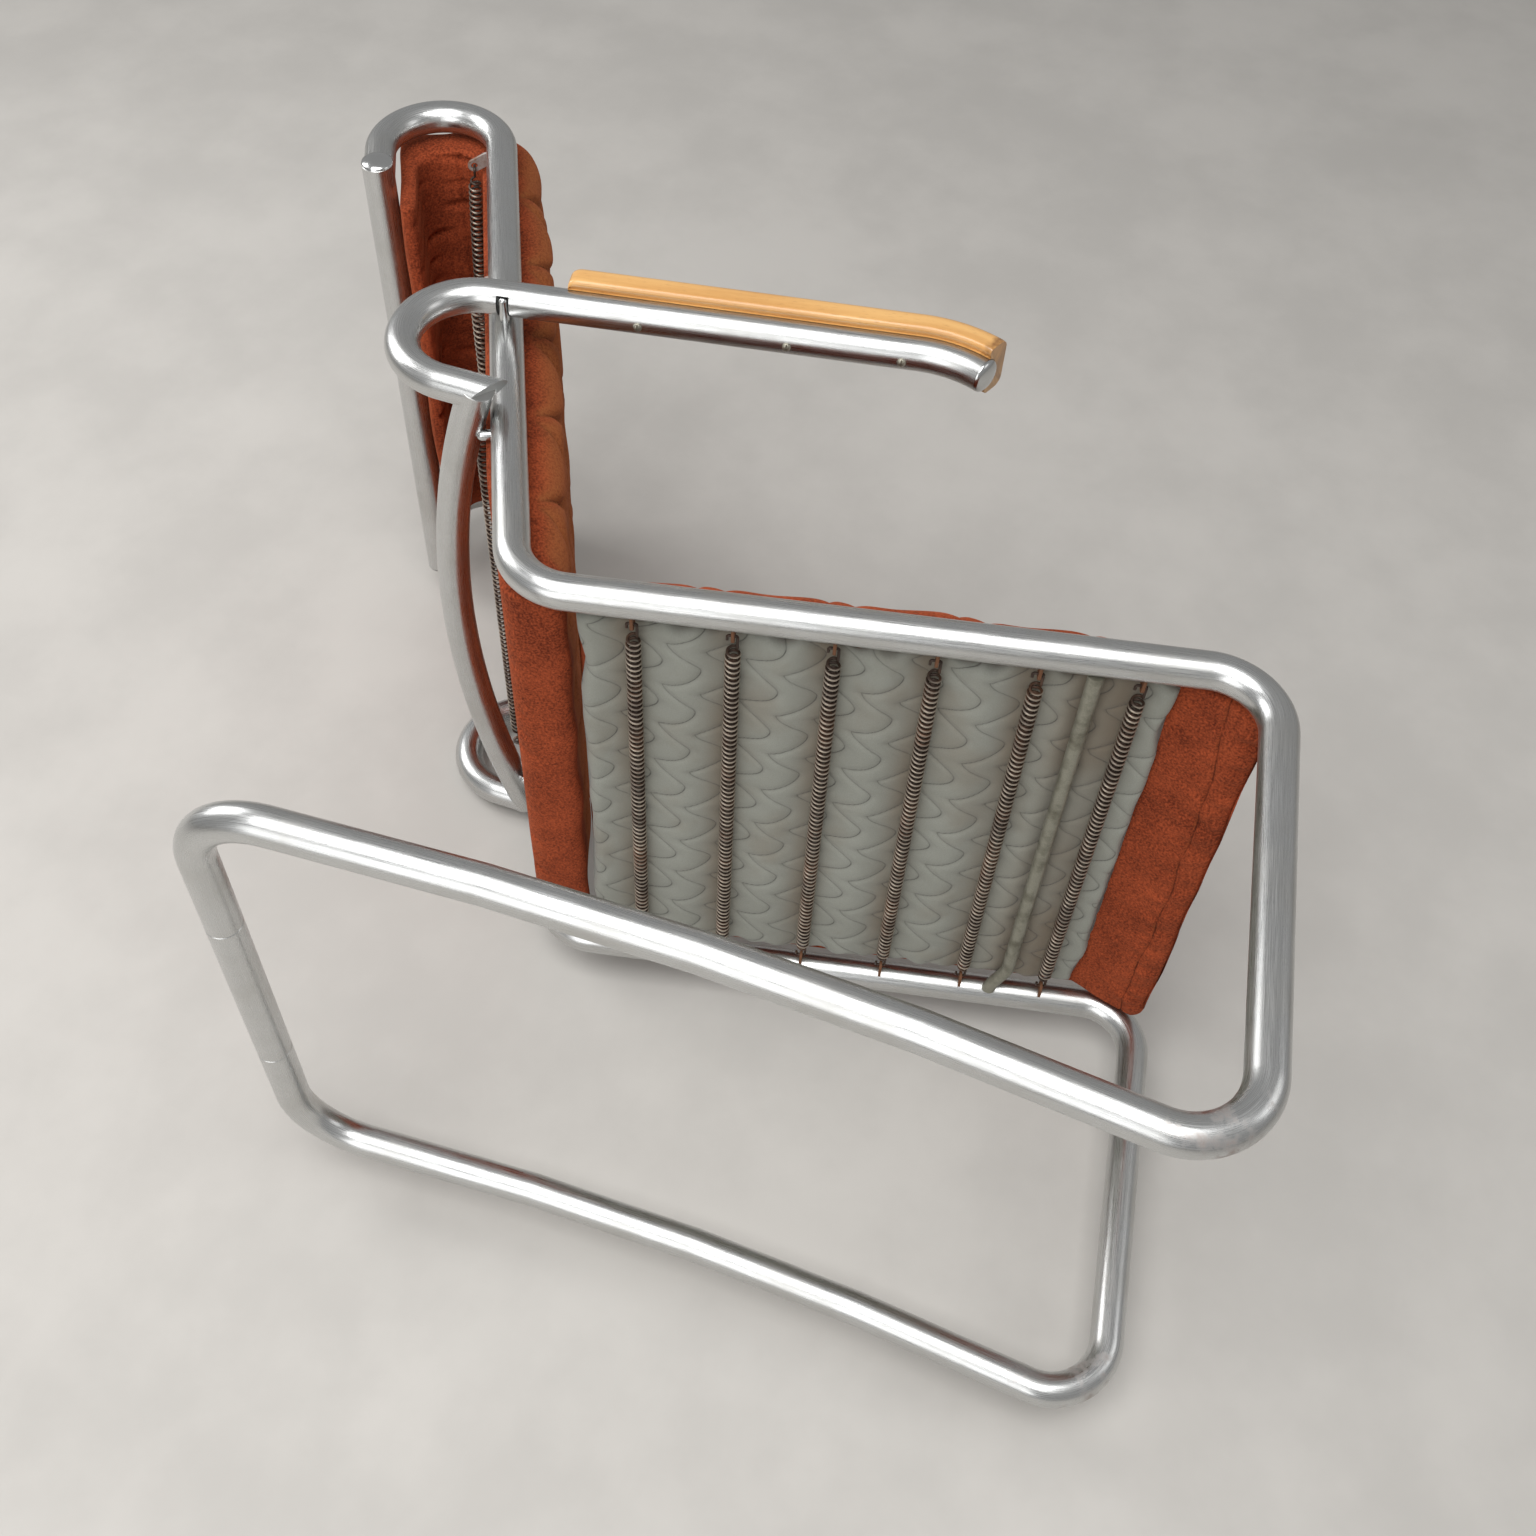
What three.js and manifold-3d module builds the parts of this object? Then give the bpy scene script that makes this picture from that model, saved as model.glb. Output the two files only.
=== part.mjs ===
// Cantilever lounge chair of bent steel tube: two side frames joined by cross tubes, a spring seat
// and a spring back under loose cushions, and two looped arm tubes with wooden pads.
//
// Units are millimetres. The front of the chair faces -Y, +Z is up and X runs across the seat, with
// the sitter's right hand at -X. The side profile is laid out in a plane of (Y, Z) on tube centre
// lines, from the front floor bend, and the finished group is moved so that its origin is the middle
// of its underside.

import * as THREE from 'three';
import { mergeVertices } from 'three/addons/utils/BufferGeometryUtils.js';
import Module from 'manifold-3d';

const wasm = await Module();
wasm.setup();

// Tube and fits
const TUBE_DIAMETER = 28;
const TUBE_WALL = 2;
const TUBE_SIDES = 12;
const FIT_GAP = 0.3;
const CUT_OVERRUN = 6;

// Side profile of the frame
const FRAME_SPACING = 480;
const RUNNER_LENGTH = 712;
const RUNNER_RISE = 19;
const RUNNER_STRAIGHT = 66;
const FRONT_CORNER_SETBACK = 49;
const FRONT_CORNER_HEIGHT = 371.5;
const REAR_CORNER_SETBACK = 590;
const REAR_CORNER_HEIGHT = 255;
const BACK_RECLINE_DEGREES = 25.5;
const UPRIGHT_LENGTH = 542.5;
const HOOK_RADIUS = 54.5;
const HOOK_LEG = 37;
const FLOOR_BEND_RADIUS = 50;
const FRONT_BEND_RADIUS = 48;
const SEAT_BEND_RADIUS = 50;
const REAR_BEND_RADIUS = 62;

// Joints of the floor loop
const FLOOR_JOINT_OFFSET = 95;
const SPIGOT_LENGTH = 70;

// Cross rail plugs and arm tube caps
const CAP_DOME = 5;
const CAP_STEM_LENGTH = 18;

// Strut between the seat rails
const STRUT_DIAMETER = 12;
const STRUT_STATION = 425;
const STRUT_DROP = 6;
const STRUT_FLAT_LENGTH = 30;
const STRUT_FLAT_SHARE = 0.62;

// Springs and the tabs that they hook into
const SPRING_DIAMETER = 12;
const WIRE_DIAMETER = 2;
const SEAT_SPRINGS = 6;
const SEAT_SPRING_START = 87.5;
const SEAT_SPRING_PITCH = 74.5;
const SEAT_SPRING_DROP = 2;
const SEAT_SPRING_CURLS = 6;
const BACK_SPRING_SHARES = [0, 0.43, 1];
const SPRING_ABOVE_BRACE = 40;
const BACK_SPRING_HEADROOM = 2.5;
const BACK_SPRING_SETBACK = 26;
const BACK_SPRING_CURLS = 6;
const HOOK_LEAD = 13;
const HOOK_STANDOFF = 3.2;
const HOOK_TIP = 3.6;
const HOOK_BEND = 1.4;
const TAB_THICKNESS = 2.5;
const TAB_WIDTH = 12;
const TAB_HOLE = 6;
const SEAT_TAB_REACH = 22;
const BACK_TAB_REACH = 14;
const TAB_ROOT = 3;

// Arm tubes and the brace between them
const ARM_CROSSING = 291.6;
const ARM_RISE_DEGREES = 10.5;
const ARM_STRAIGHT = 339;
const ARM_DROP_RADIUS = 100;
const ARM_DROP_DEGREES = 33;
const ARM_LOOP_RADIUS = 55;
const ARM_LOOP_SETBACK = 1;
const ARM_LEG_SETBACK = 2;
const ARM_LEG_MITRE_DEGREES = 44;
const BRACE_CLEARANCE = 3;
const BRACE_BOW = 36;

// Bolts of the arms
const ARM_PIN_DIAMETER = 8;
const ARM_PIN_DROP = 10;
const ARM_PIN_REACH = 22;
const ARM_PIN_ROOT = 10;
const STUD_DIAMETER = 8;
const STUD_ROOT = 9;
const STUD_INSET = 8;

// Wooden arm pads and their screws
const PAD_WIDTH = 45;
const PAD_UNDERSIDE = 4;
const PAD_TOP = 26;
const PAD_EDGE_RADIUS = 8;
const PAD_LOWER_EDGE_RADIUS = 4;
const PAD_REAR = 53;
const PAD_NOSE = 10;
const SCREW_STATIONS = [113.5, 234.5, 327];
const SCREW_HEAD_DIAMETER = 7.5;
const SCREW_HEAD_HEIGHT = 2.6;
const SCREW_SHANK_DIAMETER = 4;
const SCREW_LENGTH = 34;
const SCREW_CLEARANCE = 0.3;

// Cushions
const CUSHION_SIDE_GAP = 3;
const QUILT_PITCH = 64;
const QUILT_DEPTH = 6;
const QUILT_SWAY = 14;
const LINING_THICKNESS = 3;
const SEAT_CUSHION_START = 44;
const SEAT_CUSHION_LEVEL = 8;
const SEAT_CUSHION_TOP = 48;
const SEAT_CUSHION_CROWN = 6;
const LINING_END = 488;
const ROLL_TIP_STATION = 550;
const ROLL_TIP_DEPTH = 27;
const ROLL_NOSE_STATION = 560;
const ROLL_NOSE_DEPTH = 5;
const BACK_CUSHION_FRONT = 37;
const BACK_CUSHION_REAR = 19.3;
const BACK_FOOT_REAR = 10;
const BACK_FOOT_LEVEL = 5;
const BACK_FOOT_LENGTH = 150;
const BACK_TOP_OUTER = -6.5;
const BACK_TOP_INNER = 32;
const BACK_FLAP_OUTER = -17;
const BACK_FLAP_INNER = 33;
const BACK_FLAP_LENGTH = 62;

// Sizes worked out from the ones above
const TUBE_RADIUS = TUBE_DIAMETER / 2;
const HALF_SPACING = FRAME_SPACING / 2;
const CUSHION_HALF_WIDTH = HALF_SPACING - TUBE_RADIUS - CUSHION_SIDE_GAP;
const ARM_X = HALF_SPACING + TUBE_DIAMETER + FIT_GAP;
const BORE_RADIUS = TUBE_RADIUS - TUBE_WALL;
const SPIGOT_RADIUS = BORE_RADIUS - FIT_GAP;
const WIRE_RADIUS = WIRE_DIAMETER / 2;
const COIL_RADIUS = (SPRING_DIAMETER - WIRE_DIAMETER) / 2;
const TAB_HOLE_SIDES = 6;
const CURL_STEPS = 8;
const WIRE_SIDES = 5;
const DEGREE = Math.PI / 180;
const WELD_DISTANCE = 1e-4;

// Materials
const chrome = new THREE.MeshStandardMaterial({ color: 0xb9bab8, roughness: 0.16, metalness: 1 });
const dullSteel = new THREE.MeshStandardMaterial({ color: 0x7d7b68, roughness: 0.5, metalness: 0.8 });
const springSteel = new THREE.MeshStandardMaterial({ color: 0x6b5040, roughness: 0.55, metalness: 0.7 });
const beech = new THREE.MeshStandardMaterial({ color: 0xd9a050, roughness: 0.35, metalness: 0 });
const plush = new THREE.MeshStandardMaterial({ color: 0x9a4426, roughness: 0.95, metalness: 0 });
const lining = new THREE.MeshStandardMaterial({ color: 0x8a8d85, roughness: 0.8, metalness: 0 });

// Directions of the side profile, as (Y, Z)
const frontCorner = new THREE.Vector2(FRONT_CORNER_SETBACK, FRONT_CORNER_HEIGHT);
const rearCorner = new THREE.Vector2(REAR_CORNER_SETBACK, REAR_CORNER_HEIGHT);
const forward = frontCorner.clone().sub(rearCorner).normalize();
const seatUp = new THREE.Vector2(forward.y, -forward.x);
const seatLength = frontCorner.distanceTo(rearCorner);
const backAngle = BACK_RECLINE_DEGREES * DEGREE;
const backUp = new THREE.Vector2(Math.sin(backAngle), Math.cos(backAngle));
const backRear = new THREE.Vector2(Math.cos(backAngle), -Math.sin(backAngle));
const armAngle = ARM_RISE_DEGREES * DEGREE;
const armForward = new THREE.Vector2(-Math.cos(armAngle), Math.sin(armAngle));
const armUp = new THREE.Vector2(Math.sin(armAngle), Math.cos(armAngle));

// A point of a side profile, at x, from an origin and two directions in (Y, Z).
function profilePoint(x, origin, first, a, second, b) {
  const spot = origin.clone().addScaledVector(first, a).addScaledVector(second, b);
  return new THREE.Vector3(x, spot.x, spot.y);
}

// Seat frame: station runs forward from the rear corner of the seat rail, level rises off the rail.
const seatPoint = (x, station, level) => profilePoint(x, rearCorner, forward, station, seatUp, level);

// Back frame: height runs up the upright from the same corner, setback goes behind it.
const backPoint = (x, height, setback) => profilePoint(x, rearCorner, backUp, height, backRear, setback);

// Arm frame: reach runs forward from where the arm tube crosses the upright.
const armCrossing = rearCorner.clone().addScaledVector(backUp, ARM_CROSSING);
const armPoint = (x, reach, level) => profilePoint(x, armCrossing, armForward, reach, armUp, level);

const direction3 = (flat) => new THREE.Vector3(0, flat.x, flat.y);

// Closed solid ready for cutting: one shared vertex per corner, faces pointing out.
function closedGeometry(geometry) {
  const bare = geometry.index ? geometry.toNonIndexed() : geometry.clone();
  for (const name of Object.keys(bare.attributes)) {
    if (name !== 'position') bare.deleteAttribute(name);
  }
  const merged = mergeVertices(bare, WELD_DISTANCE);
  const index = dropSlivers(Array.from(merged.index.array));
  merged.setIndex(signedVolume(merged, index) < 0 ? index.reverse() : index);
  return merged;
}

// Triangles whose corners were merged together hold no area, so they go.
function dropSlivers(index) {
  const kept = [];
  for (let i = 0; i < index.length; i += 3) {
    const [a, b, c] = index.slice(i, i + 3);
    if (a !== b && b !== c && c !== a) kept.push(a, b, c);
  }
  return kept;
}

function signedVolume(geometry, index) {
  const corners = [new THREE.Vector3(), new THREE.Vector3(), new THREE.Vector3()];
  let volume = 0;
  for (let i = 0; i < index.length; i += 3) {
    corners.forEach((corner, k) => corner.fromBufferAttribute(geometry.attributes.position, index[i + k]));
    volume += corners[0].dot(corners[1].clone().cross(corners[2])) / 6;
  }
  return volume;
}

function toSolid(geometry) {
  const closed = closedGeometry(geometry);
  const vertProperties = new Float32Array(closed.attributes.position.array);
  const triVerts = new Uint32Array(closed.index.array);
  return new wasm.Manifold(new wasm.Mesh({ numProp: 3, vertProperties, triVerts }));
}

function toGeometry(solid) {
  const mesh = solid.getMesh();
  const geometry = new THREE.BufferGeometry();
  geometry.setAttribute('position', new THREE.BufferAttribute(new Float32Array(mesh.vertProperties), 3));
  geometry.setIndex(Array.from(mesh.triVerts));
  return geometry;
}

const cut = (body, tools) => tools.reduce((left, tool) => left.subtract(tool), body);
const join = (body, extras) => extras.reduce((left, extra) => left.add(extra), body);

// A path given by stations: its bends have many and its straight runs only two.
class StationPath extends THREE.Curve {
  constructor(points, tangents) {
    super();
    this.points = points;
    this.tangents = tangents;
  }

  getPoint(t) {
    return this.points[Math.round(t * (this.points.length - 1))].clone();
  }

  getSpacedPoints() {
    return this.points.map((point) => point.clone());
  }

  getTangentAt(u) {
    return this.tangents[Math.round(u * (this.tangents.length - 1))].clone();
  }
}

// Corners joined by straight runs, with the corner at each radius rounded off as a bend.
function roundedPath(corners) {
  const points = [];
  const tangents = [];
  const add = (point, tangent) => {
    if (points.length && points[points.length - 1].distanceTo(point) < WELD_DISTANCE) return;
    points.push(point);
    tangents.push(tangent);
  };
  corners.forEach((corner, i) => {
    const into = i ? corner.at.clone().sub(corners[i - 1].at).normalize() : null;
    const away = i < corners.length - 1 ? corners[i + 1].at.clone().sub(corner.at).normalize() : null;
    if (!into || !away) {
      add(corner.at.clone(), into ?? away);
      return;
    }
    const turn = into.angleTo(away);
    const axis = into.clone().cross(away).normalize();
    const start = corner.at.clone().addScaledVector(into, -corner.radius * Math.tan(turn / 2));
    const centre = start.clone().addScaledVector(axis.clone().cross(into), corner.radius);
    for (let k = 0; k <= corner.steps; k += 1) {
      const swing = (turn * k) / corner.steps;
      const arm = start.clone().sub(centre).applyAxisAngle(axis, swing);
      add(centre.clone().add(arm), into.clone().applyAxisAngle(axis, swing));
    }
  });
  return new StationPath(points, tangents);
}

const bend = (at, radius, steps) => ({ at, radius, steps });
const end = (at) => ({ at, radius: 0, steps: 0 });

// Regular outline whose flats, not its corners, lie at the given radius, with a flat across each axis.
function roundShape(radius, sides) {
  const corner = radius / Math.cos(Math.PI / sides);
  const shape = new THREE.Shape();
  for (let k = 0; k < sides; k += 1) {
    const angle = ((k + 0.5) * 2 * Math.PI) / sides;
    shape[k ? 'lineTo' : 'moveTo'](corner * Math.cos(angle), corner * Math.sin(angle));
  }
  shape.closePath();
  return shape;
}

function sweep(path, shape) {
  const options = { steps: path.points.length - 1, extrudePath: path, bevelEnabled: false };
  return new THREE.ExtrudeGeometry(shape, options);
}

// Straight round bar between two points.
function bar(from, to, radius, sides = TUBE_SIDES) {
  return toSolid(sweep(roundedPath([end(from), end(to)]), roundShape(radius, sides)));
}

function mesh(name, geometry, material) {
  const piece = new THREE.Mesh(closedGeometry(geometry), material);
  piece.name = name;
  return piece;
}

const sides = [
  { name: 'right', sign: -1 },
  { name: 'left', sign: 1 },
];

// Side frame

// The front floor bend is lowered until the bottom of its arc is level with the rear floor rail.
function floorCorner() {
  const corner = new THREE.Vector2();
  for (let round = 0; round < 4; round += 1) {
    const leg = Math.atan2(FRONT_CORNER_HEIGHT - corner.y, FRONT_CORNER_SETBACK);
    const slope = Math.atan2(runnerApex() - corner.y / 2, RUNNER_LENGTH / 2);
    const reach = FLOOR_BEND_RADIUS / Math.sin((leg - slope) / 2);
    corner.y = FLOOR_BEND_RADIUS - reach * Math.sin((leg + slope) / 2);
  }
  return corner;
}

// Height of the corner that a wide bend turns into the runner's bow.
function runnerApex() {
  const bowed = RUNNER_LENGTH / 2 - RUNNER_STRAIGHT;
  return (RUNNER_RISE * RUNNER_LENGTH) / 2 / (RUNNER_LENGTH / 2 - bowed / 2);
}

function sideFramePath(sign) {
  const x = sign * HALF_SPACING;
  const floor = floorCorner();
  const bowed = RUNNER_LENGTH / 2 - RUNNER_STRAIGHT;
  const apex = runnerApex();
  const bowRadius = bowed / (apex / (RUNNER_LENGTH / 2));
  const top = UPRIGHT_LENGTH + HOOK_RADIUS;
  return roundedPath([
    end(new THREE.Vector3(sign * FLOOR_JOINT_OFFSET, RUNNER_LENGTH, 0)),
    bend(new THREE.Vector3(x, RUNNER_LENGTH, 0), REAR_BEND_RADIUS, 7),
    bend(new THREE.Vector3(x, RUNNER_LENGTH / 2, apex + floor.y / 2), bowRadius, 8),
    bend(new THREE.Vector3(x, floor.x, floor.y), FLOOR_BEND_RADIUS, 7),
    bend(seatPoint(x, seatLength, 0), FRONT_BEND_RADIUS, 7),
    bend(seatPoint(x, 0, 0), SEAT_BEND_RADIUS, 6),
    bend(backPoint(x, top, 0), HOOK_RADIUS, 7),
    bend(backPoint(x, top, 2 * HOOK_RADIUS), HOOK_RADIUS, 7),
    end(backPoint(x, UPRIGHT_LENGTH - HOOK_LEG, 2 * HOOK_RADIUS)),
  ]);
}

// Flat tab with a hole, welded to the tube: it stands from root along reach, with its thickness along side.
function springTab(root, reach, length, side) {
  const half = TAB_WIDTH / 2;
  const outline = new THREE.Shape();
  outline.moveTo(-TAB_ROOT, -half);
  for (const angle of [-90, -30, 30, 90]) {
    outline.lineTo(length + half * Math.cos(angle * DEGREE), half * Math.sin(angle * DEGREE));
  }
  outline.lineTo(-TAB_ROOT, half);
  outline.closePath();
  const hole = new THREE.Path();
  hole.absarc(length, 0, TAB_HOLE / 2, 0, 2 * Math.PI, true);
  outline.holes.push(hole);
  const options = { depth: TAB_THICKNESS, bevelEnabled: false, curveSegments: TAB_HOLE_SIDES / 2 };
  const plate = new THREE.ExtrudeGeometry(outline, options);
  plate.translate(0, 0, -TAB_THICKNESS / 2);
  const across = side.clone().cross(reach);
  plate.applyMatrix4(new THREE.Matrix4().makeBasis(reach, across, side).setPosition(root));
  return toSolid(plate);
}

// Direction across the chair, towards its middle.
const inward = (sign) => new THREE.Vector3(-sign, 0, 0);

// How far from the middle of the chair the tab holes lie.
const seatHoleX = HALF_SPACING - SEAT_TAB_REACH;
const backHoleX = HALF_SPACING - BACK_TAB_REACH;

function seatTab(sign, station) {
  const surface = TUBE_RADIUS;
  const root = seatPoint(sign * (HALF_SPACING - surface), station, -SEAT_SPRING_DROP);
  return springTab(root, inward(sign), SEAT_TAB_REACH - surface, direction3(forward));
}

function backTab(sign, height) {
  const centre = backPoint(sign * HALF_SPACING, height, 0);
  const hole = backPoint(sign * backHoleX, height, BACK_SPRING_SETBACK);
  const reach = hole.clone().sub(centre).normalize();
  const root = centre.clone().addScaledVector(reach, TUBE_RADIUS);
  return springTab(root, reach, hole.distanceTo(root), direction3(backUp));
}

const seatSpringStation = (i) => SEAT_SPRING_START + i * SEAT_SPRING_PITCH;

// Height of a back spring up the upright: the lowest lies above the brace and the highest at the
// top of the upright.
function backSpringHeight(i) {
  const brace = new THREE.Vector2(bracePassY, armLegZ).sub(rearCorner).dot(backUp);
  const first = brace + SPRING_ABOVE_BRACE;
  const last = UPRIGHT_LENGTH - BACK_SPRING_HEADROOM;
  return first + (last - first) * BACK_SPRING_SHARES[i];
}

const count = (n) => Array.from({ length: n }, (_, i) => i);

// Straight cutter along x through the cross rail's line, a fitting gap larger than the rail.
function crossRailLine(radius, half) {
  const from = backPoint(-half, UPRIGHT_LENGTH - HOOK_LEG, 2 * HOOK_RADIUS);
  const to = backPoint(half, UPRIGHT_LENGTH - HOOK_LEG, 2 * HOOK_RADIUS);
  return bar(from, to, radius);
}

const crossRailHalf = HALF_SPACING + TUBE_RADIUS;

function spigotBore(sign) {
  const mouth = new THREE.Vector3(sign * (FLOOR_JOINT_OFFSET - CUT_OVERRUN), RUNNER_LENGTH, 0);
  const depth = sign * (FLOOR_JOINT_OFFSET + SPIGOT_LENGTH / 2 + FIT_GAP);
  return bar(mouth, new THREE.Vector3(depth, RUNNER_LENGTH, 0), BORE_RADIUS);
}

function sideFrame({ name, sign }) {
  const tube = toSolid(sweep(sideFramePath(sign), roundShape(TUBE_RADIUS, TUBE_SIDES)));
  const tabs = [
    ...count(SEAT_SPRINGS).map((i) => seatTab(sign, seatSpringStation(i))),
    ...count(BACK_SPRING_SHARES.length).map((i) => backTab(sign, backSpringHeight(i))),
  ];
  const cutters = [
    spigotBore(sign),
    crossRailLine(TUBE_RADIUS + FIT_GAP, crossRailHalf + CUT_OVERRUN),
    armPinShaft(sign, FIT_GAP),
    studShaft(sign, FIT_GAP),
  ];
  return mesh(`side_frame_${name}`, toGeometry(cut(join(tube, tabs), cutters)), chrome);
}

// Floor and cross rails

function rearFloorRail() {
  const half = FLOOR_JOINT_OFFSET - FIT_GAP;
  const from = new THREE.Vector3(-half, RUNNER_LENGTH, 0);
  const rail = bar(from, new THREE.Vector3(half, RUNNER_LENGTH, 0), TUBE_RADIUS);
  const bores = sides.map(({ sign }) => {
    const inner = sign * (FLOOR_JOINT_OFFSET - SPIGOT_LENGTH / 2 - FIT_GAP);
    const mouth = sign * (FLOOR_JOINT_OFFSET + CUT_OVERRUN);
    const start = new THREE.Vector3(inner, RUNNER_LENGTH, 0);
    return bar(start, new THREE.Vector3(mouth, RUNNER_LENGTH, 0), BORE_RADIUS);
  });
  return mesh('rear_floor_rail', toGeometry(cut(rail, bores)), chrome);
}

function floorSpigot({ name, sign }) {
  const near = sign * (FLOOR_JOINT_OFFSET - SPIGOT_LENGTH / 2);
  const far = sign * (FLOOR_JOINT_OFFSET + SPIGOT_LENGTH / 2);
  const from = new THREE.Vector3(near, RUNNER_LENGTH, 0);
  const body = bar(from, new THREE.Vector3(far, RUNNER_LENGTH, 0), SPIGOT_RADIUS);
  return mesh(`floor_rail_spigot_${name}`, toGeometry(body), dullSteel);
}

// Domed cap with a stem, standing on the end of a tube: the dome points along out.
function tubeCap(at, out) {
  const profile = [new THREE.Vector2(0, -CAP_STEM_LENGTH), new THREE.Vector2(SPIGOT_RADIUS, -CAP_STEM_LENGTH)];
  profile.push(new THREE.Vector2(SPIGOT_RADIUS, FIT_GAP), new THREE.Vector2(TUBE_RADIUS, FIT_GAP));
  const steps = 4;
  for (let k = 1; k <= steps; k += 1) {
    const angle = (k / steps) * (Math.PI / 2);
    const radius = k < steps ? TUBE_RADIUS * Math.cos(angle) : 0;
    profile.push(new THREE.Vector2(radius, FIT_GAP + CAP_DOME * Math.sin(angle)));
  }
  const cap = new THREE.LatheGeometry(profile, TUBE_SIDES);
  const turn = new THREE.Quaternion().setFromUnitVectors(new THREE.Vector3(0, 1, 0), out);
  cap.applyQuaternion(turn);
  cap.translate(at.x, at.y, at.z);
  return cap;
}

// Bore that takes a cap's stem, running in from the end of a tube.
function capBore(at, out) {
  const from = at.clone().addScaledVector(out, -CAP_STEM_LENGTH - FIT_GAP);
  return bar(from, at.clone().addScaledVector(out, CUT_OVERRUN), BORE_RADIUS);
}

const crossRailEnd = (sign) =>
  backPoint(sign * crossRailHalf, UPRIGHT_LENGTH - HOOK_LEG, 2 * HOOK_RADIUS);

function topCrossRail() {
  const rail = crossRailLine(TUBE_RADIUS, crossRailHalf);
  const bores = sides.map(({ sign }) => capBore(crossRailEnd(sign), inward(-sign)));
  return mesh('top_cross_rail', toGeometry(cut(rail, bores)), chrome);
}

function crossRailPlug({ name, sign }) {
  return mesh(`cross_rail_plug_${name}`, tubeCap(crossRailEnd(sign), inward(-sign)), chrome);
}

// Strut between the seat rails, flattened towards its ends, which are cut to the curve of the rails.
function seatStrut() {
  const half = HALF_SPACING - TUBE_RADIUS + TAB_ROOT;
  const stations = [-1, 1].flatMap((sign) => [sign * half, sign * (half - STRUT_FLAT_LENGTH)]);
  stations.sort((a, b) => a - b);
  const rings = stations.map((x) => {
    const flat = Math.abs(x) > half - STRUT_FLAT_LENGTH / 2 ? STRUT_FLAT_SHARE : 1;
    return ellipseRing(x, STRUT_DIAMETER / 2 / flat, (STRUT_DIAMETER / 2) * flat);
  });
  const rails = sides.map(({ sign }) => {
    const x = sign * HALF_SPACING;
    const near = seatPoint(x, STRUT_STATION - TUBE_DIAMETER, 0);
    return bar(near, seatPoint(x, STRUT_STATION + TUBE_DIAMETER, 0), TUBE_RADIUS + FIT_GAP);
  });
  return mesh('seat_strut', toGeometry(cut(toSolid(loft(rings)), rails)), dullSteel);
}

function ellipseRing(x, alongSeat, acrossSeat) {
  return count(TUBE_SIDES).map((k) => {
    const angle = (k * 2 * Math.PI) / TUBE_SIDES;
    const station = STRUT_STATION + alongSeat * Math.cos(angle);
    return seatPoint(x, station, acrossSeat * Math.sin(angle) - STRUT_DROP);
  });
}

// Skin through rings of equal length, closed by a fan at each end from the middle of the ring.
function loft(rings) {
  const position = [];
  const corner = (point) => position.push(point.x, point.y, point.z);
  const size = rings[0].length;
  for (let r = 0; r < rings.length - 1; r += 1) {
    for (let k = 0; k < size; k += 1) {
      const next = (k + 1) % size;
      [rings[r][k], rings[r][next], rings[r + 1][next]].forEach(corner);
      [rings[r][k], rings[r + 1][next], rings[r + 1][k]].forEach(corner);
    }
  }
  for (const [ring, flip] of [[rings[0], true], [rings[rings.length - 1], false]]) {
    const middle = ring.reduce((sum, point) => sum.add(point), new THREE.Vector3()).divideScalar(size);
    for (let k = 0; k < size; k += 1) {
      const pair = [ring[k], ring[(k + 1) % size]];
      if (flip) pair.reverse();
      [pair[0], pair[1], middle].forEach(corner);
    }
  }
  const geometry = new THREE.BufferGeometry();
  geometry.setAttribute('position', new THREE.Float32BufferAttribute(position, 3));
  return geometry;
}

// Springs

// Centre line of one spring along x: a hook through a tab hole, a lead, the curls, and the same again.
function springPath(holeX, curls, place) {
  const holeInner = (TAB_HOLE / 2) * Math.cos(Math.PI / TAB_HOLE_SIDES);
  const wireOuter = WIRE_RADIUS / Math.cos(Math.PI / WIRE_SIDES);
  const wireX = holeX - (holeInner - wireOuter - FIT_GAP);
  const coilX = wireX - HOOK_LEAD;
  const hook = (sign) => [
    place(sign * wireX, -HOOK_TIP, 0),
    place(sign * wireX, HOOK_STANDOFF - HOOK_BEND, 0),
    place(sign * (wireX - HOOK_BEND), HOOK_STANDOFF, 0),
    place(sign * (wireX - HOOK_LEAD / 2), HOOK_STANDOFF, 0),
  ];
  const total = curls * CURL_STEPS;
  const coil = count(total + 1).map((k) => {
    const angle = (k * 2 * Math.PI) / CURL_STEPS;
    const x = -coilX + (2 * coilX * k) / total;
    return place(x, COIL_RADIUS * Math.cos(angle), COIL_RADIUS * Math.sin(angle));
  });
  const points = [...hook(-1), ...coil, ...hook(1).reverse()];
  const tangents = points.map((point, i) => {
    const before = points[Math.max(i - 1, 0)];
    const after = points[Math.min(i + 1, points.length - 1)];
    return after.clone().sub(before).normalize();
  });
  return new StationPath(points, tangents);
}

// Least gap between stretches of a wire that lie at least half a curl apart along it.
function selfGap(points) {
  let least = Infinity;
  for (let i = 0; i < points.length; i += 1) {
    for (let k = i + CURL_STEPS / 2; k < points.length; k += 1) {
      least = Math.min(least, points[i].distanceTo(points[k]) - WIRE_DIAMETER);
    }
  }
  return least;
}

const gaps = [];

function spring(name, holeX, curls, place) {
  const path = springPath(holeX, curls, place);
  gaps.push(selfGap(path.points));
  return mesh(name, sweep(path, roundShape(WIRE_RADIUS, WIRE_SIDES)), springSteel);
}

function seatSpring(i) {
  const station = seatSpringStation(i);
  const place = (x, side, level) => seatPoint(x, station + side, level - SEAT_SPRING_DROP);
  return spring(`seat_spring_${i + 1}`, seatHoleX, SEAT_SPRING_CURLS, place);
}

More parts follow.
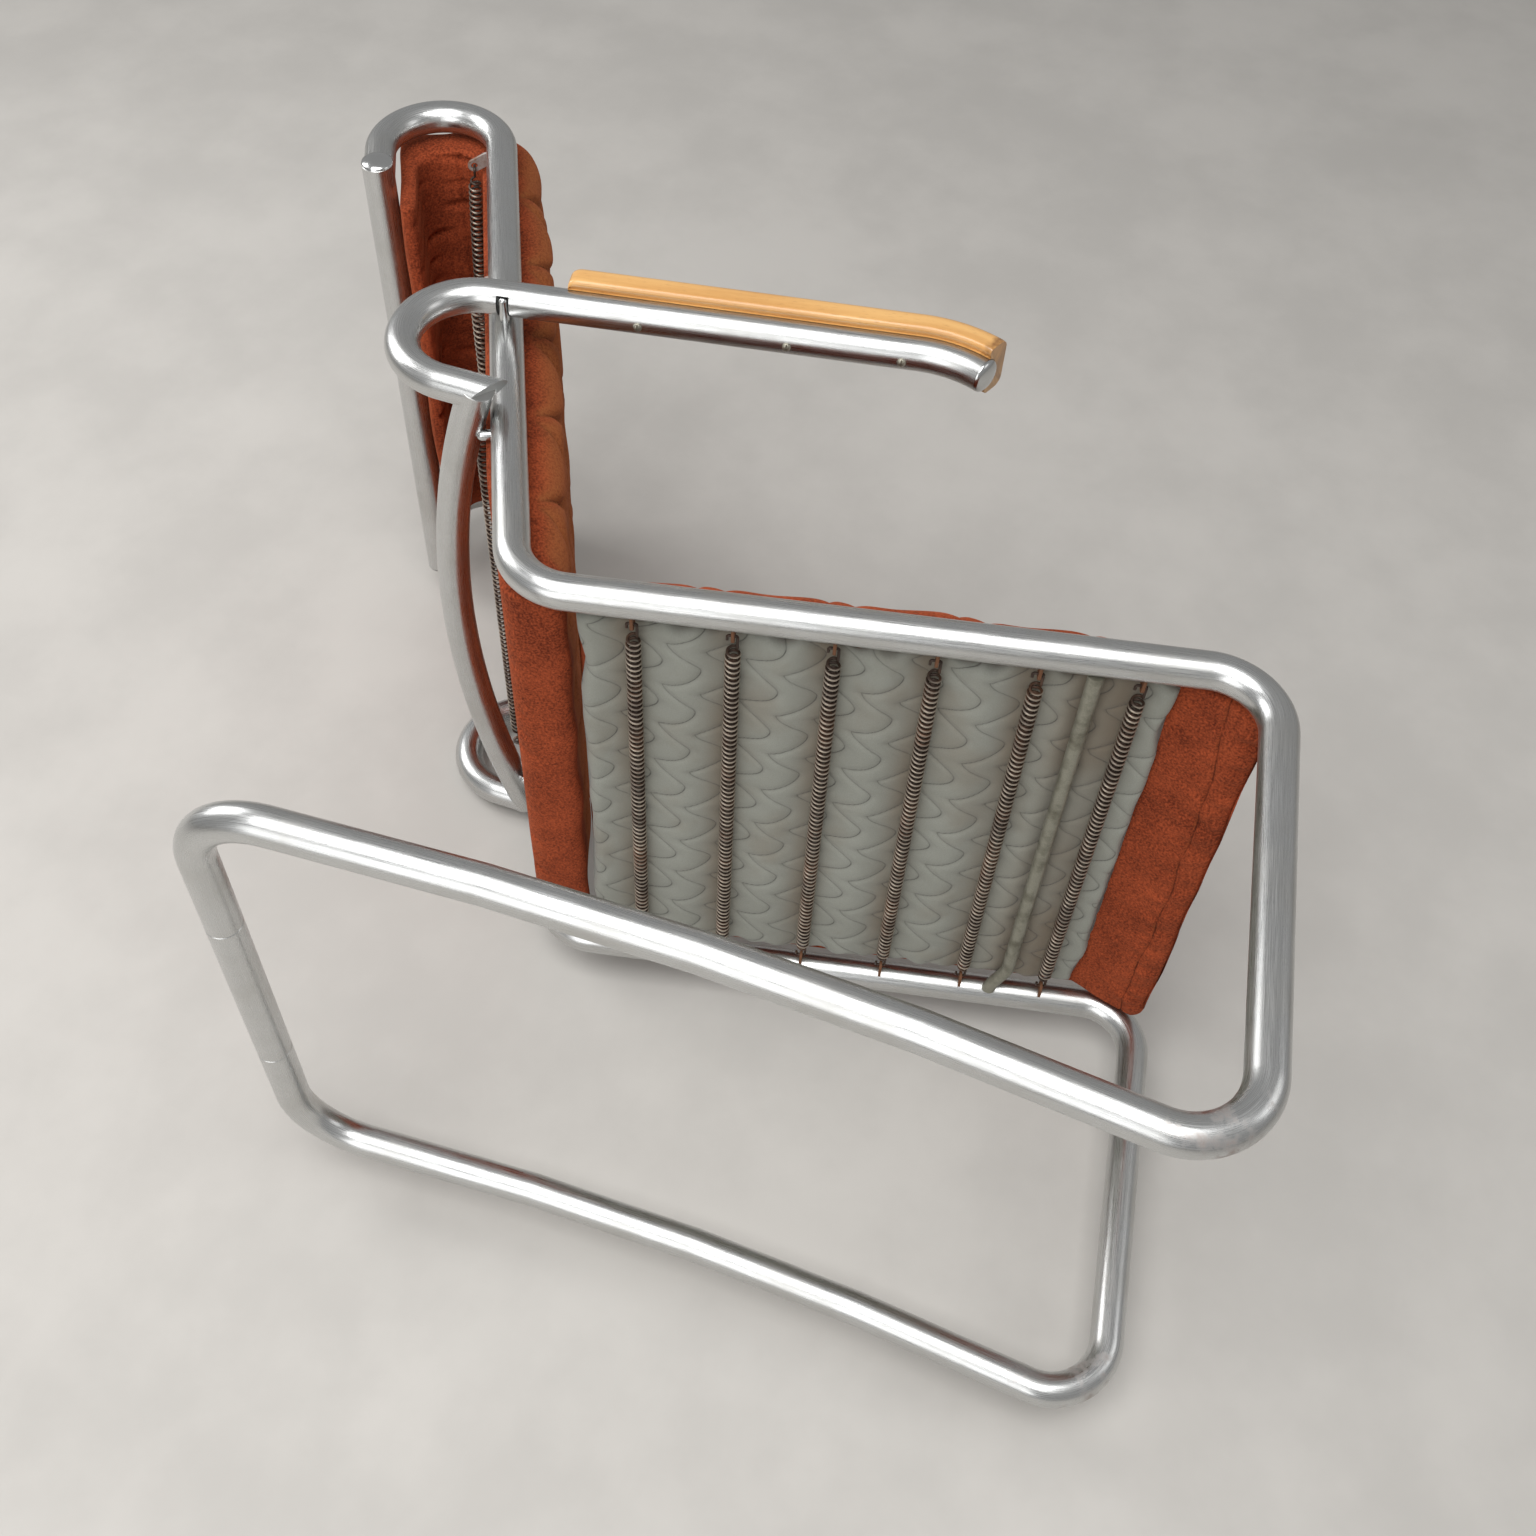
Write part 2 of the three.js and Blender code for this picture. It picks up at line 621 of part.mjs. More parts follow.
function backSpring(i) {
  const height = backSpringHeight(i);
  const place = (x, side, depth) => backPoint(x, height + side, BACK_SPRING_SETBACK + depth);
  return spring(`back_spring_${i + 1}`, backHoleX, BACK_SPRING_CURLS, place);
}

// Arm tubes

// The loop is one round bend that touches the arm's line and the level line of its lower leg.
const armLineZ = (y) => armCrossing.y - (y - armCrossing.x) * Math.tan(armAngle);
const armLoopY = armCrossing.x + ARM_LOOP_SETBACK;
const armLegZ = armLineZ(armLoopY) - ARM_LOOP_RADIUS * (1 + 1 / Math.cos(armAngle));

// Corners of the arm tube: the loop is turned in two bends that meet at its rearmost point.
function armPath(sign, overrun = 0) {
  const x = sign * ARM_X;
  const drop = ARM_DROP_DEGREES * DEGREE;
  const tangent = ARM_DROP_RADIUS * Math.tan(drop / 2);
  const corner = armPoint(x, ARM_STRAIGHT + tangent, 0);
  const dip = armForward.clone().multiplyScalar(Math.cos(drop)).addScaledVector(armUp, -Math.sin(drop));
  const tip = corner.clone().addScaledVector(direction3(dip), tangent);
  const rearY = armLoopY + ARM_LOOP_RADIUS;
  const path = roundedPath([
    end(new THREE.Vector3(x, armLegEndY(), armLegZ)),
    bend(new THREE.Vector3(x, rearY, armLegZ), ARM_LOOP_RADIUS, 7),
    bend(new THREE.Vector3(x, rearY, armLineZ(rearY)), ARM_LOOP_RADIUS, 7),
    bend(corner, ARM_DROP_RADIUS, 5),
    end(tip.clone().addScaledVector(direction3(dip), overrun)),
  ]);
  return { path, tip, dip };
}

const uprightYAt = (z) => rearCorner.x + ((z - rearCorner.y) * backUp.x) / backUp.y;
const armLegEndY = () => uprightYAt(armLegZ) + ARM_LEG_SETBACK;

// Wedge that mitres the end of the lower leg, so that its outer side is the longer one.
function legMitre(sign) {
  const size = TUBE_DIAMETER + CUT_OVERRUN;
  const block = new THREE.BoxGeometry(size * 2, size, size * 2);
  block.translate(0, -size / 2, 0);
  block.rotateZ(-sign * ARM_LEG_MITRE_DEGREES * DEGREE);
  block.translate(sign * (ARM_X + TUBE_RADIUS), armLegEndY(), armLegZ);
  return toSolid(block);
}

// Shaft of the pin that ties the arm tube to the upright: it lies in a notch in the arm's underside.
function armPinShaft(sign, clearance) {
  const at = (x) => backPoint(sign * x, ARM_CROSSING - ARM_PIN_DROP, 0);
  const surface = HALF_SPACING + TUBE_RADIUS;
  const inner = at(surface - ARM_PIN_ROOT - clearance);
  return bar(inner, at(surface + ARM_PIN_REACH + clearance), ARM_PIN_DIAMETER / 2 + clearance, 8);
}

// Brace

// Place of the brace where it passes behind the uprights: it lies level with the arms' lower legs.
const bracePassY = uprightYAt(armLegZ) + (TUBE_DIAMETER + BRACE_CLEARANCE) / backRear.x;
const braceRadius = (HALF_SPACING ** 2 + BRACE_BOW ** 2) / (2 * BRACE_BOW);

function bracePath() {
  const reach = Math.asin((ARM_X - TUBE_RADIUS / 2) / braceRadius);
  const steps = 14;
  const centreY = bracePassY + BRACE_BOW - braceRadius;
  const points = [];
  const tangents = [];
  for (let k = 0; k <= steps; k += 1) {
    const angle = -reach + (2 * reach * k) / steps;
    const out = braceRadius * Math.sin(angle);
    points.push(new THREE.Vector3(out, centreY + braceRadius * Math.cos(angle), armLegZ));
    tangents.push(new THREE.Vector3(Math.cos(angle), -Math.sin(angle), 0));
  }
  return new StationPath(points, tangents);
}

function backBrace() {
  const tube = toSolid(sweep(bracePath(), roundShape(TUBE_RADIUS, TUBE_SIDES)));
  const cutters = sides.flatMap(({ sign }) => [
    bar(
      new THREE.Vector3(sign * ARM_X, bracePassY - TUBE_DIAMETER * 2, armLegZ),
      new THREE.Vector3(sign * ARM_X, bracePassY + TUBE_DIAMETER * 2, armLegZ),
      TUBE_RADIUS + FIT_GAP,
    ),
    studShaft(sign, FIT_GAP),
  ]);
  return mesh('back_brace', toGeometry(cut(tube, cutters)), chrome);
}

// Stud between the upright and the brace, level with the brace, on the inner half of the upright.
function studShaft(sign, clearance) {
  const x = sign * (HALF_SPACING - STUD_INSET);
  const front = uprightYAt(armLegZ) + TUBE_RADIUS - STUD_ROOT - clearance;
  const rear = bracePassY - TUBE_RADIUS + STUD_ROOT + clearance;
  const from = new THREE.Vector3(x, front, armLegZ);
  return bar(from, new THREE.Vector3(x, rear, armLegZ), STUD_DIAMETER / 2 + clearance, 8);
}

// Outline of the wooden pad across the arm, as (x, level): flat below, with rounded edges.
function padOutline() {
  const half = PAD_WIDTH / 2;
  const corners = [
    { x: half, y: PAD_UNDERSIDE, radius: PAD_LOWER_EDGE_RADIUS },
    { x: half, y: PAD_TOP, radius: PAD_EDGE_RADIUS },
    { x: -half, y: PAD_TOP, radius: PAD_EDGE_RADIUS },
    { x: -half, y: PAD_UNDERSIDE, radius: PAD_LOWER_EDGE_RADIUS },
  ];
  const steps = 3;
  return corners.flatMap(({ x, y, radius }, i) => count(steps + 1).map((k) => {
    const angle = ((i - 1 + k / steps) * Math.PI) / 2;
    const centre = new THREE.Vector2(x - Math.sign(x) * radius, y + (y > PAD_UNDERSIDE ? -radius : radius));
    return centre.add(new THREE.Vector2(radius * Math.cos(angle), radius * Math.sin(angle)));
  }));
}

// Rounding of the pad's rear end: how far along it, and the size of the section there.
const PAD_NOSE_SHARES = [
  { along: 0, size: 0.6 },
  { along: 0.35, size: 0.84 },
  { along: 1, size: 1 },
];

// Stations of the pad along the arm: reach, turn of the drop so far and size of the section there.
function padStations() {
  const drop = ARM_DROP_DEGREES * DEGREE;
  const stations = [];
  for (const { along, size } of PAD_NOSE_SHARES) {
    stations.push({ reach: PAD_REAR + PAD_NOSE * along, turn: 0, size });
  }
  const steps = 5;
  for (let k = 0; k <= steps; k += 1) {
    stations.push({ reach: ARM_STRAIGHT, turn: (drop * k) / steps, size: 1 });
  }
  return stations;
}

// Place of a point of the pad's section: the drop is an arc of the arm's own radius.
function padPoint(sign, spot, { reach, turn, size }) {
  const level = PAD_UNDERSIDE + (spot.y - PAD_UNDERSIDE) * size;
  const radius = ARM_DROP_RADIUS + level;
  const along = reach + radius * Math.sin(turn);
  const high = radius * Math.cos(turn) - ARM_DROP_RADIUS;
  return armPoint(sign * ARM_X + spot.x * size, along, high);
}

// The pad is hollowed below to sit over the arm tube.
function armPad({ name, sign }) {
  const outline = padOutline();
  const rings = padStations().map((station) => outline.map((spot) => padPoint(sign, spot, station)));
  const seatPath = armPath(sign, CUT_OVERRUN).path;
  const seat = toSolid(sweep(seatPath, roundShape(TUBE_RADIUS + FIT_GAP, TUBE_SIDES)));
  const bores = SCREW_STATIONS.map((reach) => screwShank(sign, reach, SCREW_CLEARANCE));
  return mesh(`arm_pad_${name}`, toGeometry(cut(toSolid(loft(rings)), [seat, ...bores])), beech);
}

// Skin through rings whose shared outline isn't convex: the ends are cut into triangles as shapes.
function skinWithCaps(rings, outline) {
  const position = [];
  const corner = (point) => position.push(point.x, point.y, point.z);
  const size = outline.length;
  for (let r = 0; r < rings.length - 1; r += 1) {
    for (let k = 0; k < size; k += 1) {
      const next = (k + 1) % size;
      [rings[r][k], rings[r][next], rings[r + 1][next]].forEach(corner);
      [rings[r][k], rings[r + 1][next], rings[r + 1][k]].forEach(corner);
    }
  }
  const faces = THREE.ShapeUtils.triangulateShape(outline, []);
  const clockwise = THREE.ShapeUtils.isClockWise(outline);
  for (const face of faces) {
    const ends = clockwise ? [...face].reverse() : face;
    [...ends].reverse().forEach((k) => corner(rings[0][k]));
    ends.forEach((k) => corner(rings[rings.length - 1][k]));
  }
  const geometry = new THREE.BufferGeometry();
  geometry.setAttribute('position', new THREE.Float32BufferAttribute(position, 3));
  return geometry;
}

// Screw of the pad: the shank runs up from the underside of the arm tube into the wood.
function screwShank(sign, reach, clearance) {
  const x = sign * ARM_X;
  const from = armPoint(x, reach, -TUBE_RADIUS - clearance * 2);
  const to = armPoint(x, reach, -TUBE_RADIUS + SCREW_LENGTH + clearance);
  return bar(from, to, SCREW_SHANK_DIAMETER / 2 + clearance, 8);
}

function padScrew({ name, sign }, reach, i) {
  const head = SCREW_HEAD_DIAMETER / 2;
  const shank = SCREW_SHANK_DIAMETER / 2;
  const base = -TUBE_RADIUS - FIT_GAP;
  const profile = [
    new THREE.Vector2(0, base - SCREW_HEAD_HEIGHT),
    new THREE.Vector2(head / 2, base - SCREW_HEAD_HEIGHT),
    new THREE.Vector2(head, base - SCREW_HEAD_HEIGHT / 3),
    new THREE.Vector2(head, base),
    new THREE.Vector2(shank, base),
    new THREE.Vector2(shank, base + SCREW_LENGTH),
    new THREE.Vector2(0, base + SCREW_LENGTH),
  ];
  const screw = new THREE.LatheGeometry(profile, 8);
  const up = direction3(armUp);
  screw.applyQuaternion(new THREE.Quaternion().setFromUnitVectors(new THREE.Vector3(0, 1, 0), up));
  const at = armPoint(sign * ARM_X, reach, 0);
  screw.translate(at.x, at.y, at.z);
  return mesh(`arm_pad_screw_${name}_${i + 1}`, screw, dullSteel);
}

function armFrame({ name, sign }) {
  const { path, tip, dip } = armPath(sign);
  const tube = toSolid(sweep(path, roundShape(TUBE_RADIUS, TUBE_SIDES)));
  const cutters = [
    legMitre(sign),
    armPinShaft(sign, FIT_GAP),
    capBore(tip, direction3(dip)),
    ...SCREW_STATIONS.map((reach) => screwShank(sign, reach, SCREW_CLEARANCE)),
  ];
  return mesh(`arm_frame_${name}`, toGeometry(cut(tube, cutters)), chrome);
}

function armEndCap({ name, sign }) {
  const { tip, dip } = armPath(sign);
  return mesh(`arm_end_cap_${name}`, tubeCap(tip, direction3(dip)), chrome);
}

const armPin = ({ name, sign }) =>
  mesh(`arm_pin_${name}`, toGeometry(armPinShaft(sign, 0)), dullSteel);

const braceStud = ({ name, sign }) =>
  mesh(`brace_stud_${name}`, toGeometry(studShaft(sign, 0)), dullSteel);

// Cushions

// Cross sections of a cushion from its side to its middle: half width and fullness as shares, and the
// sway of its quilting lines, which run in a zigzag across the cushion.
const CUSHION_SECTION_SHARES = [
  { width: 1, full: 0.5, sway: 0 },
  { width: 0.985, full: 0.76, sway: 0 },
  { width: 0.92, full: 0.9, sway: 1 },
  { width: 0.69, full: 0.97, sway: -1 },
  { width: 0.46, full: 1, sway: 1 },
  { width: 0.23, full: 1, sway: -1 },
  { width: 0, full: 1, sway: 1 },
];

// Every cross section from the right side to the left one.
function cushionSections() {
  const right = CUSHION_SECTION_SHARES.slice(0, -1);
  const mirrored = right.map((section) => ({ ...section, width: -section.width })).reverse();
  return [...CUSHION_SECTION_SHARES, ...mirrored];
}

// Stations of a quilted face: one on each sewn line and one on each swelling between two lines.
function quiltStations(from, to, sway) {
  const steps = 2 * Math.round((to - from) / QUILT_PITCH);
  return count(steps + 1).map((k) => {
    const inside = k > 0 && k < steps;
    const at = from + ((to - from) * k) / steps + (inside ? sway * QUILT_SWAY : 0);
    return { at, swell: k % 2 ? QUILT_DEPTH : 0 };
  });
}

const evenStations = (from, to, steps) =>
  count(steps).map((k) => ({ at: from + ((to - from) * (k + 1)) / steps, swell: 0 }));

// Outline through both faces of a cushion, each face drawn towards the other by the fullness.
function cushionOutline(pairs, full) {
  const draw = (face, other) => face.clone().lerp(other, (1 - full) / 2);
  const inner = pairs.map((pair) => draw(pair.inner, pair.outer));
  const outer = pairs.map((pair) => draw(pair.outer, pair.inner)).reverse();
  return [...inner, ...outer];
}

// A cushion's skin: pairs(sway) gives its two faces as flat points and place(x, point) sets them in space.
function cushion(name, pairs, place) {
  const rings = cushionSections().map(({ width, full, sway }) =>
    cushionOutline(pairs(sway), full).map((point) => place(-width * CUSHION_HALF_WIDTH, point)));
  return mesh(name, skinWithCaps(rings, cushionOutline(pairs(0), 1).map(flatten(place))), plush);
}

// Point of a cushion's outline as it lies in the side view.
const flatten = (place) => (point) => {
  const spot = place(0, point);
  return new THREE.Vector2(spot.y, spot.z);
};

// Faces of the seat cushion as (station, level): flat on its lining, crowned on top, rolled down in front.
function seatPairs(sway) {
  const lean = backUp.dot(forward) / backUp.dot(seatUp);
  const flat = quiltStations(SEAT_CUSHION_START, LINING_END, sway).map(({ at, swell }) => {
    const share = (at - SEAT_CUSHION_START) / (LINING_END - SEAT_CUSHION_START);
    const top = SEAT_CUSHION_TOP + SEAT_CUSHION_CROWN * Math.sin(Math.PI * share) + swell;
    const shift = lean * (SEAT_CUSHION_TOP - SEAT_CUSHION_LEVEL) * (1 - share);
    return { inner: new THREE.Vector2(at, SEAT_CUSHION_LEVEL), outer: new THREE.Vector2(at + shift, top) };
  });
  const steps = 6;
  const roll = count(steps).map((k) => {
    const share = (k + 1) / steps;
    const angle = (share * Math.PI) / 2;
    const reach = (ROLL_NOSE_STATION - LINING_END) * Math.sin(angle);
    const rise = (SEAT_CUSHION_TOP + ROLL_NOSE_DEPTH) * Math.cos(angle);
    const tip = new THREE.Vector2(ROLL_TIP_STATION, -ROLL_TIP_DEPTH);
    return {
      inner: new THREE.Vector2(LINING_END, SEAT_CUSHION_LEVEL).lerp(tip, share),
      outer: new THREE.Vector2(LINING_END + reach, rise - ROLL_NOSE_DEPTH),
    };
  });
  return [...flat, ...roll];
}

const seatCushion = () =>
  cushion('seat_cushion', seatPairs, (x, { x: station, y: level }) => seatPoint(x, station, level));

function seatLining() {
  const high = SEAT_CUSHION_LEVEL - FIT_GAP;
  const low = high - LINING_THICKNESS;
  const ring = (x) => [
    seatPoint(x, SEAT_CUSHION_START, low),
    seatPoint(x, LINING_END, low),
    seatPoint(x, LINING_END, high),
    seatPoint(x, SEAT_CUSHION_START, high),
  ];
  return mesh('seat_lining', loft([ring(-CUSHION_HALF_WIDTH), ring(CUSHION_HALF_WIDTH)]), lining);
}

// Smooth change from one value to another as t goes from 0 to 1.
function ease(from, to, t) {
  return THREE.MathUtils.lerp(from, to, THREE.MathUtils.smoothstep(t, 0, 1));
}

const wrapLength = Math.PI * HOOK_RADIUS;
const wrapShare = (path) => (path - UPRIGHT_LENGTH) / wrapLength;

// Distance of the cushion's outer face from the frame's centre line, along a path up the upright and
// round the hook: it falls inside the hook between these shares of the turn.
const BACK_TOP_SHARES = { start: 0.1, end: 0.55 };

function backOuter(path) {
  const turn = (wrapShare(path) - BACK_TOP_SHARES.start) / (BACK_TOP_SHARES.end - BACK_TOP_SHARES.start);
  const overTop = ease(BACK_CUSHION_FRONT, BACK_TOP_OUTER, turn);
  return ease(overTop, BACK_FLAP_OUTER, 2 * wrapShare(path) - 1);
}

// Distance of its inner face from the same line, on the other side.
function backInner(path) {
  const foot = ease(BACK_FOOT_REAR, BACK_CUSHION_REAR, path / BACK_FOOT_LENGTH);
  const top = ease(foot, BACK_TOP_INNER, 2 * wrapShare(path));
  return ease(top, BACK_FLAP_INNER, 2 * wrapShare(path) - 1);
}

// Point of the back frame on that path, at an offset outwards from it, as (height, setback).
function wrapPoint(path, offset) {
  const turn = THREE.MathUtils.clamp(wrapShare(path), 0, 1) * Math.PI;
  const past = Math.max(path - UPRIGHT_LENGTH - wrapLength, 0);
  const radius = HOOK_RADIUS + offset;
  const height = Math.min(path, UPRIGHT_LENGTH) + radius * Math.sin(turn) - past;
  return new THREE.Vector2(height, HOOK_RADIUS - radius * Math.cos(turn));
}

// Path position at which a face with the given offset meets the level of the cushion's foot.
function footPath(offset) {
  return (BACK_FOOT_LEVEL + offset * backRear.dot(seatUp)) / backUp.dot(seatUp);
}

// Faces of the back cushion as (height, setback): quilted in front, folded over inside the hooks.
function backPairs(sway) {
  const hookEnd = UPRIGHT_LENGTH + wrapLength;
  const front = footPath(BACK_CUSHION_FRONT);
  const rear = footPath(-BACK_FOOT_REAR);
  const stations = [
    ...quiltStations(front, UPRIGHT_LENGTH, sway),
    ...evenStations(UPRIGHT_LENGTH, hookEnd, 12),
    ...evenStations(hookEnd, hookEnd + BACK_FLAP_LENGTH, 2),
  ];
  return stations.map(({ at, swell }) => {
    const foot = THREE.MathUtils.clamp(1 - (at - front) / BACK_FOOT_LENGTH, 0, 1);
    const behind = at + (rear - front) * foot;
    return { inner: wrapPoint(behind, -backInner(behind)), outer: wrapPoint(at, backOuter(at) + swell) };
  });
}

const backCushion = () =>
  cushion('back_cushion', backPairs, (x, { x: height, y: setback }) => backPoint(x, height, setback));

// Assembly

const chair = new THREE.Group();
for (const side of sides) {
  chair.add(sideFrame(side), floorSpigot(side), crossRailPlug(side));
  chair.add(armFrame(side), armEndCap(side), armPad(side), armPin(side), braceStud(side));
  SCREW_STATIONS.forEach((reach, i) => chair.add(padScrew(side, reach, i)));
}
chair.add(rearFloorRail(), topCrossRail(), seatStrut(), backBrace());
chair.add(...count(SEAT_SPRINGS).map(seatSpring), ...count(BACK_SPRING_SHARES.length).map(backSpring));
chair.add(seatCushion(), seatLining(), backCushion());

const bounds = new THREE.Box3().setFromObject(chair);
const middle = bounds.getCenter(new THREE.Vector3());
chair.position.set(-middle.x, -middle.y, -bounds.min.z);

console.log(`least gap of a spring to itself: ${Math.min(...gaps).toFixed(2)} mm`);

export default chair;
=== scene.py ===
"""Dressed model of a sprung lounge chair of bent steel tube, which lies on its left side.

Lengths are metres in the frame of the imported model: the front of the chair faces -Y, +Z is up and
the sitter's right hand is at -X. The side view is laid out in (Y, Z) on tube centre lines from the
front floor bend, as the chair's maker would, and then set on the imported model's floor rail.
"""

import logging
import math
from collections.abc import Callable
from dataclasses import dataclass, field
from enum import Enum

import bmesh
import bpy
import numpy as np
from mathutils import Matrix, Vector


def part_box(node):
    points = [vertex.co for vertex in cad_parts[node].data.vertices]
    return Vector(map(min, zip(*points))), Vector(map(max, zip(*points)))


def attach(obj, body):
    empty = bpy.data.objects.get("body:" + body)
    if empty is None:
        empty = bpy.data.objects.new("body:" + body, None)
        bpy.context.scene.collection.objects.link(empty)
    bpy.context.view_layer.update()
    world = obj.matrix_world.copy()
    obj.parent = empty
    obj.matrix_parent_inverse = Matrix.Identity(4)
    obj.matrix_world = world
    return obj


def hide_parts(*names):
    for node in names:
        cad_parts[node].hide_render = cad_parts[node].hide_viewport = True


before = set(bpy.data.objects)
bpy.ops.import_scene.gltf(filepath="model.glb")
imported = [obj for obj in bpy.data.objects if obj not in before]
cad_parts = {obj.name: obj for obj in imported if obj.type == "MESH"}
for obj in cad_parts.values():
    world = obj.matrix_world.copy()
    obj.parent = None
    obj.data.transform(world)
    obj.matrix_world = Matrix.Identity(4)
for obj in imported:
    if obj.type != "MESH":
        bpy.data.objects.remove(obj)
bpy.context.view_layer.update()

logging.basicConfig(level=logging.INFO, format="%(message)s")
log = logging.getLogger("chair")

Array = np.ndarray
Arrays = tuple[Array, Array]
Values = Array | float
Piece = bpy.types.Object
Tree = bpy.types.NodeTree
Socket = bpy.types.NodeSocket
Pair = tuple[float, float]
Triple = tuple[float, float, float]
Colour = tuple[float, float, float, float]
Inputs = dict[str, object]


class Side(Enum):
    """One side of the chair: its name and the sign of its X."""

    RIGHT = -1
    LEFT = 1

    @property
    def word(self) -> str:
        """The side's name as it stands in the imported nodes."""
        return self.name.lower()


def unit(vectors: Array) -> Array:
    """Each vector scaled to length one."""
    return vectors / np.linalg.norm(vectors, axis=-1, keepdims=True)


def ease(low: float, high: float, share: Array) -> Array:
    """Smooth change: low + (high - low) * (3 t^2 - 2 t^3), with t the share held in 0 to 1."""
    held = np.clip(share, 0.0, 1.0)
    return low + (high - low) * held * held * (3.0 - 2.0 * held)


def run_length(points: Array) -> Array:
    """Distance along a row of points, from zero at the first."""
    steps = np.linalg.norm(np.diff(points, axis=0), axis=1)
    return np.concatenate([[0.0], np.cumsum(steps)])


def circle(count: int) -> Array:
    """Angles of even steps round a circle."""
    return np.linspace(0.0, 2 * math.pi, count, endpoint=False)


def screen(red: int, green: int, blue: int) -> Colour:
    """Linear colour of a screen colour: ((c + 0.055) / 1.055)^2.4 for each channel c from 0 to 1."""
    shares = [channel / 255 for channel in (red, green, blue)]
    linear = [share / 12.92 if share < 0.04045 else ((share + 0.055) / 1.055) ** 2.4 for share in shares]
    return (*linear, 1.0)


# Paths and skins


@dataclass
class Corner:
    """Corner of a tube's centre line, with the radius of its bend."""

    at: Array
    radius: float = 0.0


@dataclass
class Path:
    """Stations of a centre line and the direction at each."""

    points: Array
    tangents: Array


def rounded_path(corners: list[Corner], run_step: float = 0.015, bend_step: float = 0.06) -> Path:
    """Straight runs between corners, with each corner turned as an arc.

    The arc starts radius * tan(turn / 2) before the corner and swings round
    centre = start + radius * (axis x direction).

    Args:
        corners: The two ends and the bends between them.
        run_step: Longest distance between stations of a straight run.
        bend_step: Largest turn between stations of a bend, in radians.

    Returns:
        The stations with their directions.
    """
    points, tangents = [], []
    start, last = corners[0].at, len(corners) - 1
    for i in range(1, last + 1):
        into = unit(corners[i].at - corners[i - 1].at)
        if i == last:
            stop = corners[i].at
        else:
            away = unit(corners[i + 1].at - corners[i].at)
            turn = math.acos(np.clip(into @ away, -1.0, 1.0))
            stop = corners[i].at - into * corners[i].radius * math.tan(turn / 2)
        steps = max(2, math.ceil(np.linalg.norm(stop - start) / run_step) + 1)
        shares = np.linspace(0.0, 1.0, steps)[:, None]
        points.append(start + (stop - start) * shares)
        tangents.append(np.repeat(into[None], steps, axis=0))
        if i == last:
            break
        axis = unit(np.cross(into, away))
        centre = stop + np.cross(axis, into) * corners[i].radius
        swing = np.linspace(0.0, turn, math.ceil(turn / bend_step) + 2)[1:-1, None]
        arm = stop - centre
        points.append(centre + arm * np.cos(swing) + np.cross(axis, arm) * np.sin(swing))
        tangents.append(into * np.cos(swing) + np.cross(axis, into) * np.sin(swing))
        start = centre + arm * math.cos(turn) + np.cross(axis, arm) * math.sin(turn)
    return Path(np.concatenate(points), np.concatenate(tangents))


def carried_frames(tangents: Array, hint: Array) -> Arrays:
    """Two cross directions at each station, carried along the path without twist.

    Each step takes the last direction and drops its part along the new tangent.

    Args:
        tangents: Directions of the path.
        hint: A direction roughly square to the first tangent.

    Returns:
        The first and the second cross direction at each station.
    """
    first = np.empty_like(tangents)
    side = hint
    for i, tangent in enumerate(tangents):
        side = unit(side - tangent * (side @ tangent))
        first[i] = side
    return first, np.cross(tangents, first)


def ring_sweep(path: Path, radii: Values, sides: int, hint: Array) -> Array:
    """Grid of points round a path: centre + radius * (cos a * first + sin a * second).

    Args:
        path: The centre line.
        radii: Radius at each station, or one for all.
        sides: Points round the ring.
        hint: Direction in which the first point of the first ring lies.

    Returns:
        Points as (stations, sides, 3).
    """
    first, second = carried_frames(path.tangents, hint)
    angle = circle(sides)[None, :, None]
    radius = np.broadcast_to(radii, len(path.points))[:, None, None]
    spoke = np.cos(angle) * first[:, None] + np.sin(angle) * second[:, None]
    return path.points[:, None] + radius * spoke


def turned_profile(profile: Array, sides: int, at: Array, axis: Array, hint: Array) -> Array:
    """Grid of a profile turned round an axis: at + height * axis + radius * (cos a * u + sin a * v).

    Args:
        profile: Rows of (radius, height along the axis).
        sides: Points round the axis.
        at: Where height is zero.
        axis: Direction of the axis.
        hint: Direction roughly square to it, where the turning starts.

    Returns:
        Points as (profile rows, sides, 3).
    """
    axis = unit(axis)
    u = unit(hint - axis * (hint @ axis))
    v = np.cross(axis, u)
    angle = circle(sides)[None, :, None]
    radius, height = profile[:, 0, None, None], profile[:, 1, None, None]
    return at + height * axis + radius * (np.cos(angle) * u + np.sin(angle) * v)


